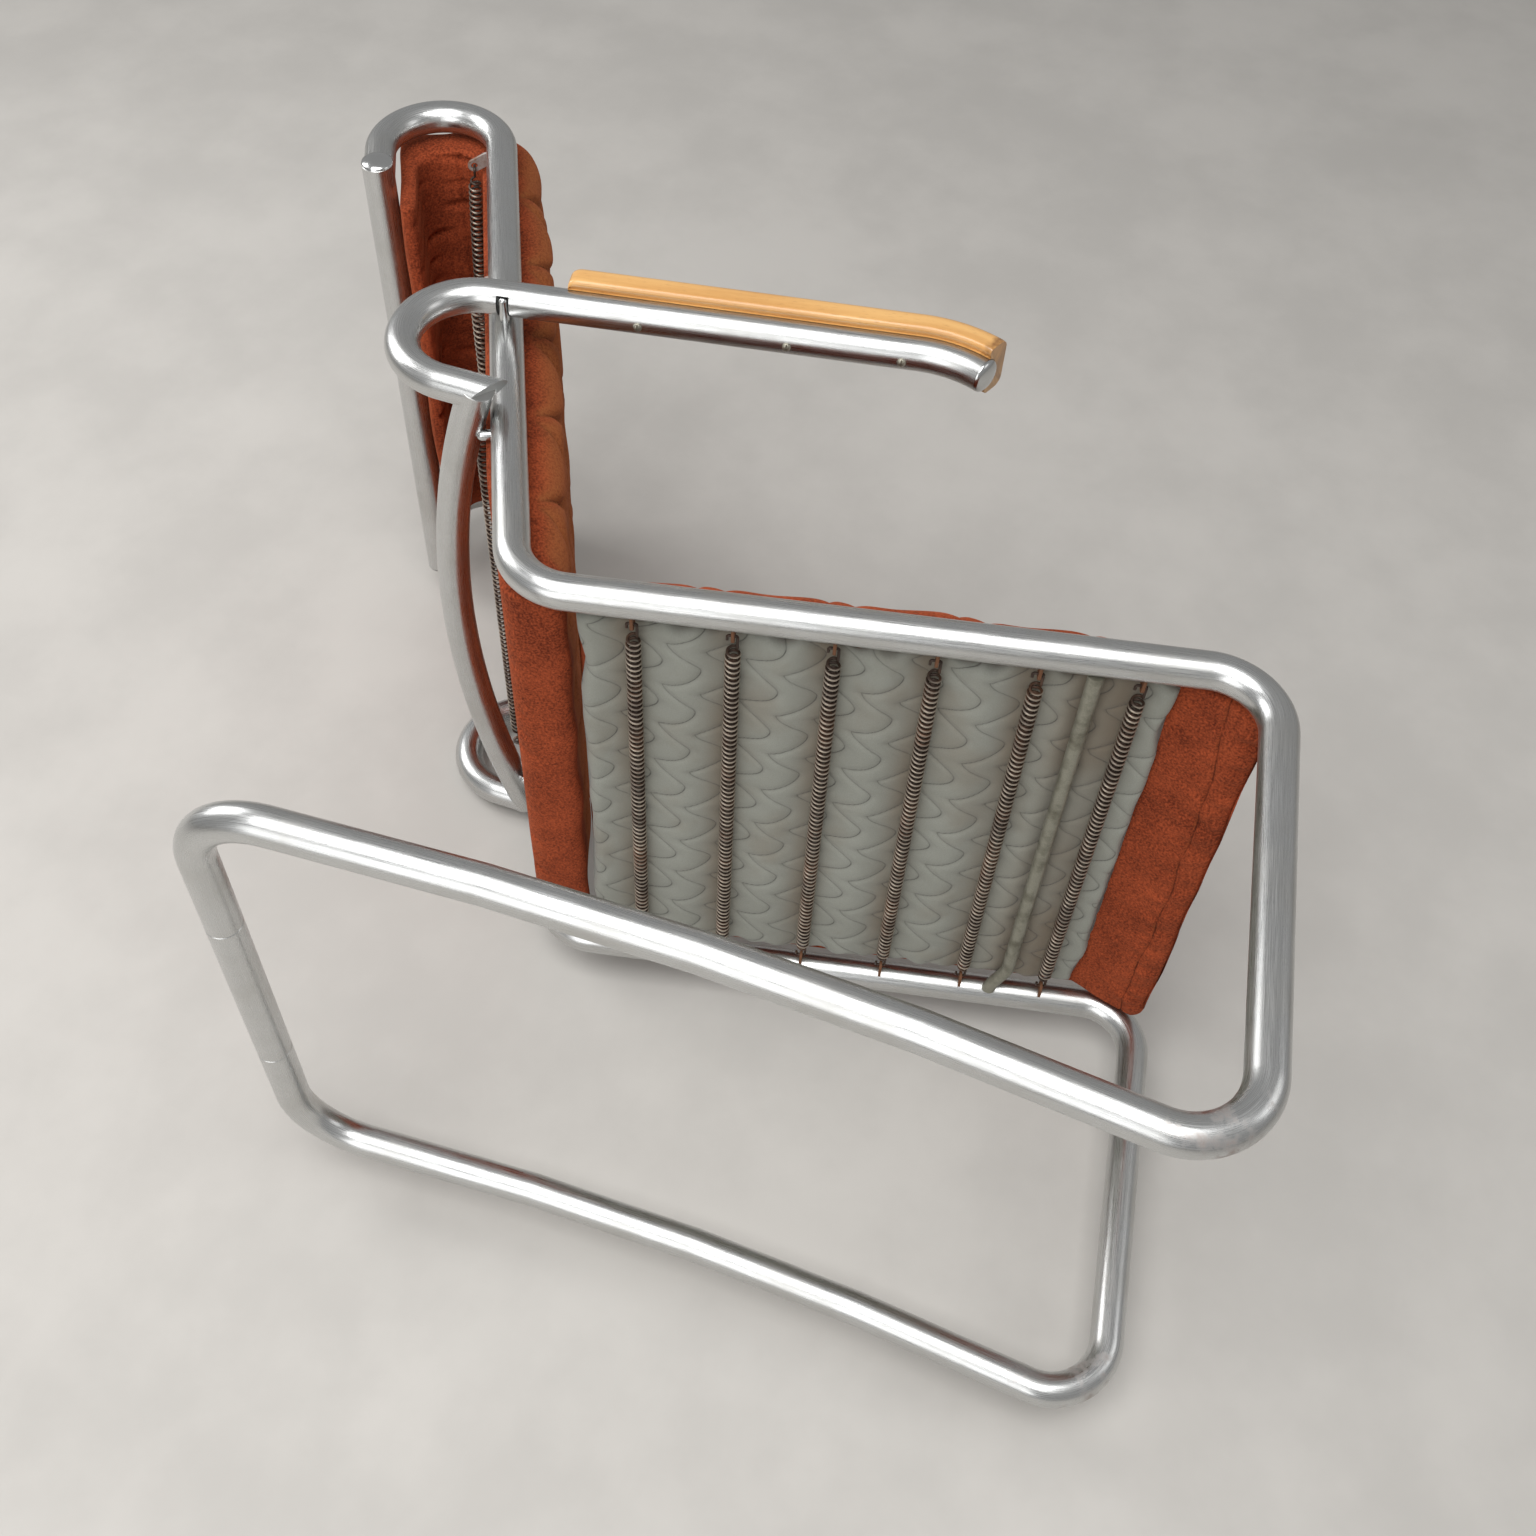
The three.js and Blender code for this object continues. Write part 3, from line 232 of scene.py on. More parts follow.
class Skin:
    """Gathers grids of points into the closed skin of one piece."""

    def __init__(self) -> None:
        """Starts with nothing."""
        self.points: list[Array] = []
        self.faces: list[Array] = []
        self.corners_uv: list[Array] = []
        self.marks: list[Array] = []
        self.count = 0

    def add(self, grid: Array, around: bool = True, ringed: bool = False, capped: bool = False,
            uv: Array | None = None, mark: Values = 0.0) -> None:
        """Adds one grid, with its faces turned outwards where it is closed.

        Args:
            grid: Points as (rows, columns, 3).
            around: The last column joins the first.
            ringed: The last row joins the first.
            capped: The first and the last row are closed by a face each.
            uv: Surface coordinates as (rows, columns, 2), one more where they wrap. None: worked out.
            mark: A value at each point, such as wear.
        """
        rows, columns = grid.shape[:2]
        wrap = ((0, int(ringed)), (0, int(around)))
        index = np.pad(np.arange(rows * columns).reshape(rows, columns), wrap, mode="wrap")
        if uv is None:
            uv = self.flat_uv(np.pad(grid, (*wrap, (0, 0)), mode="wrap"))
        corner = [(0, 0), (0, 1), (1, 1), (1, 0)]
        high, wide = index.shape[0] - 1, index.shape[1] - 1
        quads = np.stack([index[r:high + r, c:wide + c] for r, c in corner], axis=-1).reshape(-1, 4)
        quad_uv = np.stack([uv[r:high + r, c:wide + c] for r, c in corner], axis=2).reshape(-1, 4, 2)
        flat = grid.reshape(-1, 3)
        ends = [index[0, :columns][::-1], index[-1, :columns]] if capped else []
        if around and (ringed or capped) and self.volume(flat, quads, ends) < 0:
            quads, quad_uv = quads[:, ::-1], quad_uv[:, ::-1]
            ends = [end[::-1] for end in ends]
        self.points.append(flat)
        self.faces.append(quads + self.count)
        self.corners_uv.append(quad_uv)
        for end in ends:
            self.faces.append(end[None] + self.count)
            self.corners_uv.append(np.zeros((1, len(end), 2)))
        self.marks.append(np.broadcast_to(mark, (rows, columns)).ravel())
        self.count += len(flat)

    @classmethod
    def of(cls, grid: Array, mark: Values = 0.0) -> "Skin":
        """A skin of one grid whose first and last rows are closed."""
        skin = cls()
        skin.add(grid, capped=True, mark=mark)
        return skin

    @staticmethod
    def flat_uv(grid: Array) -> Array:
        """Surface coordinates in metres: distance round the middle row, and distance along the columns."""
        middle_row = grid[len(grid) // 2]
        u, v = np.meshgrid(run_length(middle_row), run_length(grid.mean(axis=1)))
        return np.stack([u, v], axis=-1)

    @staticmethod
    def volume(points: Array, quads: Array, ends: list[Array]) -> float:
        """Signed volume: the sum of corner . (corner x corner) over fans of the faces, over six."""
        total = 0.0
        for faces in [quads, *[end[None] for end in ends]]:
            a = points[faces[:, 0]]
            for k in range(1, faces.shape[1] - 1):
                total += np.einsum("ij,ij->", a, np.cross(points[faces[:, k]], points[faces[:, k + 1]]))
        return total / 6

    def build(self, name: str, sharp_degrees: float = 40.0, weld: float = 0.0) -> Piece:
        """Makes the mesh object.

        Args:
            name: Name of the piece.
            sharp_degrees: Edges that turn by more than this stay sharp.
            weld: Points nearer than this are merged; zero leaves them.

        Returns:
            The object, at the origin.
        """
        mesh = bpy.data.meshes.new(name)
        points = np.concatenate(self.points)
        loops = np.concatenate([faces.ravel() for faces in self.faces])
        sizes = np.concatenate([np.full(len(faces), faces.shape[1]) for faces in self.faces])
        mesh.vertices.add(len(points))
        mesh.vertices.foreach_set("co", points.astype(np.float32).ravel())
        mesh.loops.add(len(loops))
        mesh.loops.foreach_set("vertex_index", loops.astype(np.int32))
        mesh.polygons.add(len(sizes))
        mesh.polygons.foreach_set("loop_start", (np.cumsum(sizes) - sizes).astype(np.int32))
        mesh.update(calc_edges=True)
        layer = mesh.uv_layers.new(name="Surface")
        flat_uv = np.concatenate([uv.reshape(-1, 2) for uv in self.corners_uv])
        layer.data.foreach_set("uv", flat_uv.astype(np.float32).ravel())
        wear = mesh.attributes.new("wear", "FLOAT", "POINT")
        wear.data.foreach_set("value", np.concatenate(self.marks).astype(np.float32))
        mesh.validate()
        if weld:
            weld_mesh(mesh, weld)
        mesh.shade_smooth()
        mesh.set_sharp_from_angle(angle=math.radians(sharp_degrees))
        return add_object(name, mesh)


def add_object(name: str, data: bpy.types.ID) -> Piece:
    """Adds an object that shows the data, at the origin."""
    thing = bpy.data.objects.new(name, data)
    bpy.context.scene.collection.objects.link(thing)
    return thing


def weld_mesh(mesh: bpy.types.Mesh, distance: float) -> None:
    """Merges points nearer than the distance, drops what collapses, and turns all faces outwards."""
    work = bmesh.new()
    work.from_mesh(mesh)
    bmesh.ops.remove_doubles(work, verts=work.verts, dist=distance)
    bmesh.ops.dissolve_degenerate(work, edges=work.edges, dist=distance / 10)
    bmesh.ops.recalc_face_normals(work, faces=work.faces)
    work.to_mesh(mesh)
    work.free()


def cut_away(piece: Piece, cutter: Piece) -> None:
    """Cuts a closed body out of a piece and removes it; the edges of the cut are left sharp."""
    cut = piece.modifiers.new("cut", "BOOLEAN")
    cut.operation, cut.solver, cut.object = "DIFFERENCE", "EXACT", cutter
    bpy.context.view_layer.update()
    shaped = bpy.data.meshes.new_from_object(piece.evaluated_get(bpy.context.evaluated_depsgraph_get()))
    piece.modifiers.clear()
    piece.data = shaped
    shaped.set_sharp_from_angle(angle=math.radians(40.0))
    bpy.data.objects.remove(cutter)


# Layout of the chair


@dataclass(frozen=True)
class Layout:
    """Side view of the chair in (Y, Z) from the front floor bend, and where that lies in the frame."""

    origin: Pair
    tube_radius: float = 0.014
    half_spacing: float = 0.240
    fit_gap: float = 0.0003
    cap_dome: float = 0.005
    strut_station: float = 0.425
    runner_length: float = 0.712
    runner_rise: float = 0.019
    runner_straight: float = 0.066
    front_corner: Pair = (0.049, 0.3715)
    rear_corner: Pair = (0.590, 0.255)
    recline: float = math.radians(25.5)
    upright_length: float = 0.5425
    hook_radius: float = 0.0545
    hook_leg: float = 0.037
    floor_bend: float = 0.050
    front_bend: float = 0.048
    seat_bend: float = 0.050
    rear_bend: float = 0.062
    floor_joint: float = 0.095
    arm_crossing: float = 0.2916
    arm_rise: float = math.radians(10.5)

    @property
    def forward(self) -> Array:
        """Direction along the seat rail to the front."""
        return unit(np.subtract(self.front_corner, self.rear_corner))

    @property
    def seat_up(self) -> Array:
        """Direction off the seat rail, upwards."""
        return np.array([self.forward[1], -self.forward[0]])

    @property
    def back_up(self) -> Array:
        """Direction up the reclined upright."""
        return np.array([math.sin(self.recline), math.cos(self.recline)])

    @property
    def back_rear(self) -> Array:
        """Direction behind the upright."""
        return np.array([math.cos(self.recline), -math.sin(self.recline)])

    @property
    def arm_forward(self) -> Array:
        """Direction along the arm to its front."""
        return np.array([-math.cos(self.arm_rise), math.sin(self.arm_rise)])

    @property
    def arm_up(self) -> Array:
        """Direction off the arm, upwards."""
        return np.array([math.sin(self.arm_rise), math.cos(self.arm_rise)])

    @property
    def arm_x(self) -> float:
        """Distance of the arm tubes from the middle of the chair."""
        return self.half_spacing + 2 * self.tube_radius + self.fit_gap

    @property
    def seat_length(self) -> float:
        """Length of the seat rail from corner to corner."""
        return math.dist(self.front_corner, self.rear_corner)

    def place(self, x: Values, flat: Array) -> Array:
        """Points in the frame from X and a (Y, Z) of the layout."""
        flat = np.asarray(flat, dtype=float)
        x = np.broadcast_to(x, flat.shape[:-1])
        return np.stack([x, flat[..., 0] + self.origin[0], flat[..., 1] + self.origin[1]], axis=-1)

    def spot(self, x: Values, start: Array | Pair, first: Array, a: Array, second: Array, b: Array) -> Array:
        """Points in the frame at start + a * first + b * second in the side view."""
        x, a, b = np.broadcast_arrays(x, a, b)
        return self.place(x, start + a[..., None] * first + b[..., None] * second)

    def seat(self, x: Values, station: Values, level: Values) -> Array:
        """Points of the seat: station runs forward from the rear corner, level rises off the rail."""
        return self.spot(x, self.rear_corner, self.forward, station, self.seat_up, level)

    def back(self, x: Values, height: Values, setback: Values) -> Array:
        """Points of the back: height runs up the upright, setback goes behind it."""
        return self.spot(x, self.rear_corner, self.back_up, height, self.back_rear, setback)

    def crossing(self) -> Array:
        """Where the arm tube crosses the upright, in the side view."""
        return self.rear_corner + self.arm_crossing * self.back_up

    def arm(self, x: Values, reach: Values, level: Values) -> Array:
        """Points of the arm: reach runs forward from the upright, level rises off the arm tube."""
        return self.spot(x, self.crossing(), self.arm_forward, reach, self.arm_up, level)

    def upright_y(self, z: float) -> float:
        """Place of the upright's centre line at a height, in the side view."""
        return self.rear_corner[0] + (z - self.rear_corner[1]) * math.tan(self.recline)


def along(flat: Array) -> Array:
    """Direction in the frame of a direction in the side view."""
    return np.array([0.0, flat[0], flat[1]])


ACROSS = np.array([1.0, 0.0, 0.0])
UP = np.array([0.0, 0.0, 1.0])


# Shader graphs


class Graph:
    """Short hand for the nodes of one tree."""

    def __init__(self, tree: Tree) -> None:
        """Empties the tree."""
        self.tree = tree
        tree.nodes.clear()

    def feed(self, socket: Socket, value: object) -> None:
        """Links an output into a socket, or sets its value."""
        if isinstance(value, Socket):
            self.tree.links.new(value, socket)
        else:
            socket.default_value = value

    def fill(self, node: bpy.types.Node, inputs: dict) -> bpy.types.Node:
        """Feeds several sockets of a node, given by name or number, and hands the node back."""
        for name, value in inputs.items():
            self.feed(node.inputs[name], value)
        return node

    def add(self, kind: str, inputs: dict | None = None, **settings: object) -> bpy.types.Node:
        """Adds a node.

        Args:
            kind: Node type without its prefix.
            inputs: Socket name or number, and the value or the output that goes in.
            settings: Properties of the node.

        Returns:
            The node.
        """
        node = self.tree.nodes.new("ShaderNode" + kind)
        for name, value in settings.items():
            setattr(node, name, value)
        return self.fill(node, inputs or {})

    def pattern(self, group: Tree, **inputs: object) -> bpy.types.bpy_prop_collection:
        """Places a shared group with values of its own, and hands back its outputs."""
        node = self.tree.nodes.new("ShaderNodeGroup")
        node.node_tree = group
        return self.fill(node, inputs).outputs

    def place(self) -> Socket:
        """Object coordinates."""
        return self.add("TexCoord").outputs["Object"]

    def surface(self) -> Socket:
        """The piece's own surface coordinates, in metres."""
        return self.add("UVMap", uv_map="Surface").outputs[0]

    def wear(self) -> Socket:
        """The wear attribute of the piece."""
        return self.add("Attribute", attribute_name="wear", attribute_type="GEOMETRY").outputs["Fac"]

    def math(self, operation: str, a: object, b: object = 0.0, clamp: bool = False) -> Socket:
        """Output of a Math node."""
        return self.add("Math", {0: a, 1: b}, operation=operation, use_clamp=clamp).outputs[0]

    def times(self, a: object, b: object) -> Socket:
        """Product of two values."""
        return self.math("MULTIPLY", a, b)

    def mix(self, factor: object, a: object, b: object, blend: str = "MIX") -> Socket:
        """Output of a colour Mix node."""
        node = self.add("Mix", data_type="RGBA", blend_type=blend, clamp_factor=True)
        return self.fill(node, {0: factor, 6: a, 7: b}).outputs[2]

    def noise(self, vector: object, scale: object, detail: float = 3.0, rough: float = 0.5) -> Socket:
        """Value of a fractal noise, about 0.5 in the mean."""
        inputs = {"Vector": vector, "Scale": scale, "Detail": detail, "Roughness": rough}
        return self.add("TexNoise", inputs).outputs["Fac"]

    def window(self, value: object, low: float, high: float, start: float = 0.0, stop: float = 1.0) -> Socket:
        """Value mapped smoothly from low..high to start..stop."""
        inputs = {"Value": value, "From Min": low, "From Max": high, "To Min": start, "To Max": stop}
        return self.add("MapRange", inputs, interpolation_type="SMOOTHSTEP").outputs[0]

    def spread(self, noise: object, start: float = 0.0, stop: float = 1.0) -> Socket:
        """A noise's usual band, 0.3 to 0.7, mapped smoothly to start..stop."""
        return self.window(noise, 0.3, 0.7, start, stop)

    def stretched(self, vector: object, scale: Triple) -> Socket:
        """The vector with each axis scaled."""
        return self.add("Mapping", {"Vector": vector, "Scale": scale}).outputs[0]

    def relief(self, height: object, strength: float, depth: float = 0.0002) -> Socket:
        """Normal of a surface whose height of one stands for a depth in metres."""
        inputs = {"Strength": strength, "Distance": depth, "Height": height}
        return self.add("Bump", inputs).outputs[0]


class Carries(Enum):
    """What a socket of a node group carries, with the type that stands for it."""

    VALUE = "NodeSocketFloat"
    COLOUR = "NodeSocketColor"
    VECTOR = "NodeSocketVector"


def new_group(name: str, inputs: Inputs, outputs: dict[str, Carries]) -> tuple:
    """Makes an empty shader node group.

    Args:
        name: Name of the group.
        inputs: Default of each input: a number, a colour, or None for a vector.
        outputs: What each output carries.

    Returns:
        The group, its graph, its inputs' sockets by name and the output node.
    """
    group = bpy.data.node_groups.new(name, "ShaderNodeTree")
    kinds = {float: Carries.VALUE, tuple: Carries.COLOUR, type(None): Carries.VECTOR}
    for label, default in inputs.items():
        socket = group.interface.new_socket(label, in_out="INPUT", socket_type=kinds[type(default)].value)
        if default is not None:
            socket.default_value = default
    for label, kind in outputs.items():
        group.interface.new_socket(label, in_out="OUTPUT", socket_type=kind.value)
    graph = Graph(group)
    entry = group.nodes.new("NodeGroupInput")
    leave = group.nodes.new("NodeGroupOutput")
    return group, graph, {label: entry.outputs[label] for label in inputs}, leave


class Patterns:
    """The node groups that several finishes share, each made once."""

    def __init__(self) -> None:
        """Makes every group."""
        self.blotch = self.make_blotch()
        self.nap = self.make_nap()
        self.stitch = self.make_stitch()
        self.scuff = self.make_scuff()

    @staticmethod
    def make_blotch() -> Tree:
        """Patches: a fractal noise cut off softly between two levels, drawn in by a bias."""
        inputs = {"Vector": None, "Scale": 20.0, "Level": 0.55, "Softness": 0.08, "Bias": 0.0}
        group, graph, given, leave = new_group("Blotches", inputs, {"Mask": Carries.VALUE})
        noise = graph.noise(given["Vector"], given["Scale"], 6.0, 0.62)
        over = graph.math("SUBTRACT", graph.math("ADD", noise, given["Bias"]), given["Level"])
        graph.fill(leave, {"Mask": graph.math("DIVIDE", over, given["Softness"], clamp=True)})
        return group

    @staticmethod
    def make_nap() -> Tree:
        """Pile of a plush or the face of a cloth: tufts of one size under drifts of a larger one."""
        inputs = {"Vector": None, "Tuft": 900.0, "Drift": 25.0, "Dark": (0, 0, 0, 1),
                  "Light": (1, 1, 1, 1), "Contrast": 1.0}
        outputs = {"Color": Carries.COLOUR, "Height": Carries.VALUE}
        group, graph, given, leave = new_group("Nap", inputs, outputs)
        tuft = graph.noise(given["Vector"], given["Tuft"], 2.0, 0.6)
        drift = graph.noise(given["Vector"], given["Drift"], 4.0, 0.55)
        both = graph.math("ADD", graph.times(tuft, 0.65), graph.times(drift, 0.35))
        centred = graph.times(graph.math("SUBTRACT", both, 0.5), given["Contrast"])
        spread = graph.math("ADD", centred, 0.5, clamp=True)
        graph.fill(leave, {"Color": graph.mix(spread, given["Dark"], given["Light"]), "Height": tuft})
        return group

    @staticmethod
    def make_stitch() -> Tree:
        """Sewn waves on surface coordinates.

        A line lies where fract((v - sway * wave(u / pitch)) / spacing) is half. The line and its valley, four
        times as wide, place painted crease shade; the line is full where the wave falls and at 0.6 where it
        rises, as that shade is deeper on the falling limbs.
        """
        inputs = {"Vector": None, "Pitch": 0.0492, "Spacing": 0.030, "Sway": 0.0139, "Width": 0.0008}
        outputs = {"Line": Carries.VALUE, "Valley": Carries.VALUE}
        group, graph, given, leave = new_group("Stitched waves", inputs, outputs)
        split = graph.add("SeparateXYZ", {0: given["Vector"]}).outputs
        turn = graph.math("FRACT", graph.math("DIVIDE", split[0], given["Pitch"]))
        risen = graph.times(graph.math("DIVIDE", turn, WAVE_RISE, clamp=True), math.pi)
        fallen = graph.math("DIVIDE", graph.math("SUBTRACT", turn, WAVE_RISE), 1 - WAVE_RISE, clamp=True)
        drop = graph.times(graph.math("POWER", fallen, WAVE_POWER), -2.0)
        swing = graph.math("SUBTRACT", drop, graph.math("COSINE", risen))
        moved = graph.math("SUBTRACT", split[1], graph.times(swing, given["Sway"]))
        share = graph.math("FRACT", graph.math("DIVIDE", moved, given["Spacing"]))
        away = graph.math("ABSOLUTE", graph.math("SUBTRACT", share, 0.5))
        near = graph.math("DIVIDE", graph.times(away, given["Spacing"]), given["Width"])
        line = graph.math("SUBTRACT", 1.0, near, clamp=True)
        graph.fill(leave, {
            # Line: painted crease shade, weaker on the rising limbs. Valley: broader painted shade beside it.
            "Line": graph.times(line, graph.window(fallen, 0.0, 0.05, 0.6, 1.0)),
            "Valley": graph.math("SUBTRACT", 1.0, graph.times(near, 0.25), clamp=True),
        })
        return group

    @staticmethod
    def make_scuff() -> Tree:
        """Fine scratches along a surface: noise drawn out along v, with cloudy stretches."""
        inputs = {"Vector": None, "Length": 12.0, "Fineness": 900.0}
        outputs = {"Scratch": Carries.VALUE, "Cloud": Carries.VALUE}
        group, graph, given, leave = new_group("Scuffs", inputs, outputs)
        split = graph.add("SeparateXYZ", {0: given["Vector"]}).outputs
        drawn = graph.add("CombineXYZ", {0: graph.times(split[0], given["Fineness"]),
                                         1: graph.times(split[1], given["Length"])}).outputs[0]
        graph.fill(leave, {"Scratch": graph.noise(drawn, 1.0, 4.0, 0.6),
                           "Cloud": graph.noise(given["Vector"], 14.0, 5.0, 0.6)})
        return group


WAVE_RISE = 0.453
WAVE_POWER = 1.9


def wave(turns: Array) -> Array:
    """Scale-shaped wave of a sewn line, from -1 to 1.

    It rises as -cos(pi s / rise) over the first part of each turn and falls as
    1 - 2 ((s - rise) / (1 - rise))^power over the rest.
    """
    share = turns % 1.0
    rising = -np.cos(math.pi * np.minimum(share / WAVE_RISE, 1.0))
    falling = 1 - 2 * (np.maximum(share - WAVE_RISE, 0.0) / (1 - WAVE_RISE)) ** WAVE_POWER
    return np.where(share < WAVE_RISE, rising, falling)


# Finishes


@dataclass(frozen=True)
class Finish:
    """A finish: its name, its slot in the record, and what goes into its shader."""

    name: str
    slot: str

    def material(self, patterns: Patterns) -> bpy.types.Material:
        """A new material with a Principled shader, fed as the finish says."""
        material = bpy.data.materials.new(self.name)
        material.use_nodes = True
        graph = Graph(material.node_tree)
        shader = graph.add("BsdfPrincipled")
        graph.add("OutputMaterial", {0: shader.outputs[0]})
        graph.fill(shader, self.inputs(graph, patterns))
        return material

    def inputs(self, graph: Graph, patterns: Patterns) -> Inputs:
        """Values and outputs for the sockets of the Principled shader."""
        raise NotImplementedError


@dataclass(frozen=True)
class ChromePlate(Finish):
    """Polished plate, dulled by fine scratches, with rust where the wear attribute is high."""

    plate: Colour = (0.60, 0.605, 0.60, 1.0)
    dulled: Colour = (0.46, 0.45, 0.42, 1.0)
    rust: Colour = screen(112, 74, 48)
    polish: float = 0.18
    dullness: float = 0.38
    rust_dullness: float = 0.45

    def inputs(self, graph: Graph, patterns: Patterns) -> Inputs:
        """Plate colour and roughness drift with clouds; rust follows blotches drawn in by wear."""
        place, wear = graph.place(), graph.wear()
        scuff = graph.pattern(patterns.scuff, Vector=graph.surface(), Length=25.0, Fineness=2600.0)
        cloud = graph.window(scuff["Cloud"], 0.38, 0.72)
        specks = graph.pattern(patterns.blotch, Vector=place, Scale=420.0, Level=0.76, Softness=0.09,
                               Bias=graph.times(wear, 0.10))
        patches = graph.pattern(patterns.blotch, Vector=place, Scale=60.0, Level=1.06, Softness=0.35,
                                Bias=graph.times(wear, 0.5))
        rusted = graph.math("MAXIMUM", specks["Mask"], patches["Mask"])
        plate = graph.mix(graph.times(cloud, 0.5), self.plate, self.dulled)
        scratched = graph.spread(scuff["Scratch"], self.polish, self.dullness)
        worn = graph.math("ADD", scratched, graph.times(cloud, 0.08))
        return {
            "Base Color": graph.mix(rusted, plate, self.rust),
            "Roughness": graph.math("ADD", worn, graph.times(rusted, self.rust_dullness), clamp=True),
            "Metallic": graph.math("SUBTRACT", 1.0, graph.times(rusted, 0.8)),
            "Normal": graph.relief(scuff["Scratch"], 0.12),
        }


@dataclass(frozen=True)
class SpringWire(Finish):
    """Rusted wire, worn to bare metal on the crests of its turns, with a painted highlight there as well."""

    rust: Colour = screen(60, 45, 36)
    orange: Colour = screen(112, 78, 56)
    # Colour of the bare worn metal and of the painted highlight on the crests.
    bright: Colour = screen(206, 194, 178)
    metallic: Pair = (0.35, 0.95)
    rough: Pair = (0.34, 0.55)

    def inputs(self, graph: Graph, patterns: Patterns) -> Inputs:
        """Rust of two tones from blotches; bare metal with a painted highlight where the wear attribute marks
        a crest.
        """
        place = graph.place()
        tone = graph.pattern(patterns.blotch, Vector=place, Scale=30.0, Level=0.50, Softness=0.3)
        pits = graph.noise(place, 1500.0, 3.0, 0.7)
        patchy = graph.window(graph.noise(place, 45.0), 0.34, 0.60, 0.35, 1.0)
        # Worn bare metal on the crests, with a painted highlight there.
        wear_and_glint = graph.times(graph.window(graph.wear(), 0.30, 0.95), patchy)
        rust = graph.mix(tone["Mask"], self.rust, self.orange)
        return {
            "Base Color": graph.mix(graph.times(wear_and_glint, 0.9), rust, self.bright),
            "Metallic": graph.window(wear_and_glint, 0.0, 1.0, *self.metallic),
            "Roughness": graph.spread(pits, *self.rough),
            "Normal": graph.relief(pits, 0.3),
        }


@dataclass(frozen=True)
class DullSteel(Finish):
    """Plated steel that has gone dull, with cloudy stains."""

    metal: Colour = screen(142, 140, 126)
    stain: Colour = screen(102, 99, 84)
    metallic: float = 0.45
    rough: Pair = (0.37, 0.57)

    def inputs(self, graph: Graph, patterns: Patterns) -> Inputs:
        """Metal and stain mixed by blotches, under a fine grain."""
        place = graph.place()
        stains = graph.pattern(patterns.blotch, Vector=place, Scale=55.0, Level=0.46, Softness=0.22)
        grain = graph.noise(place, 1400.0, 3.0, 0.6)
        colour = graph.mix(stains["Mask"], self.metal, self.stain)
        return {
            "Base Color": graph.mix(1.0, colour, graph.spread(grain, 0.82, 1.12), blend="MULTIPLY"),
            "Metallic": self.metallic,
            "Roughness": graph.spread(grain, *self.rough),
            "Normal": graph.relief(grain, 0.2),
        }


@dataclass(frozen=True)
class LacqueredBeech(Finish):
    """Honey-coloured wood under clear lacquer, darker where hands and knocks have worn its ends."""

    pale: Colour = screen(222, 174, 108)
    honey: Colour = screen(198, 144, 80)
    worn: Colour = screen(118, 76, 36)
    grain: Triple = (60.0, 5.0, 1.0)
    pore: Triple = (1500.0, 90.0, 1.0)

    def inputs(self, graph: Graph, patterns: Patterns) -> Inputs:
        """Grain drawn out along v of the surface, with short dark pores; wear darkens it."""
        uv = graph.surface()
        broad = graph.noise(graph.stretched(uv, self.grain), 1.0, 4.0, 0.55)
        pores = graph.noise(graph.stretched(uv, self.pore), 1.0, 2.0)
        colour = graph.mix(graph.spread(broad), self.pale, self.honey)
        flecked = graph.mix(graph.window(pores, 0.60, 0.75, 0.0, 0.55), colour, self.worn)
        smudge = graph.pattern(patterns.blotch, Vector=uv, Scale=90.0, Level=0.82, Softness=0.35,
                               Bias=graph.times(graph.wear(), 0.5))
        return {
            "Base Color": graph.mix(smudge["Mask"], flecked, self.worn),
            "Roughness": graph.spread(broad, 0.30, 0.40),
            "Coat Weight": 0.55,
            "Coat Roughness": 0.12,
            "Normal": graph.relief(pores, 0.15),
        }


@dataclass(frozen=True)
class Plush(Finish):
    """Rust-coloured plush: a short dense pile with sewn lines pressed into it."""

    deep: Colour = screen(88, 34, 18)
    lit: Colour = screen(164, 76, 44)
    # Browner tone of the faces that turn towards -Y.
    front_tone: Colour = screen(142, 86, 48)
    seam: Colour = screen(52, 20, 10)
    glow: Colour = screen(230, 130, 84)

    def inputs(self, graph: Graph, patterns: Patterns) -> Inputs:
        """Nap in two tones, dark on sewn lines and browner where it faces the sitter, towards -Y.

        The wear attribute is one on a sewn line, zero beside it and minus one on faces that the
        sitter never touches.
        """
        coordinates = graph.add("TexCoord").outputs
        facing = graph.add("SeparateXYZ", {0: coordinates["Normal"]}).outputs[1]
        sewn = graph.wear()
        touched = graph.window(sewn, -0.9, -0.3)
        front_tone = graph.times(touched, graph.window(facing, -0.15, -0.65, 0.0, 0.85))
        nap = graph.pattern(patterns.nap, Vector=coordinates["Object"], Tuft=520.0, Drift=22.0,
                            Dark=self.deep, Light=self.lit, Contrast=3.6)
        shade = graph.window(nap["Height"], 0.35, 0.65, 0.55, 1.0)
        front_toned = graph.mix(graph.times(front_tone, shade), nap["Color"], self.front_tone)
        return {
            "Base Color": graph.mix(graph.window(sewn, 0.25, 1.0, 0.0, 0.85), front_toned, self.seam),
            "Roughness": 0.95,
            "Specular IOR Level": 0.15,
            "Sheen Weight": 0.22,
            "Sheen Roughness": 0.45,
            "Sheen Tint": self.glow,
            "Normal": graph.relief(nap["Height"], 0.6, 0.0014),
        }


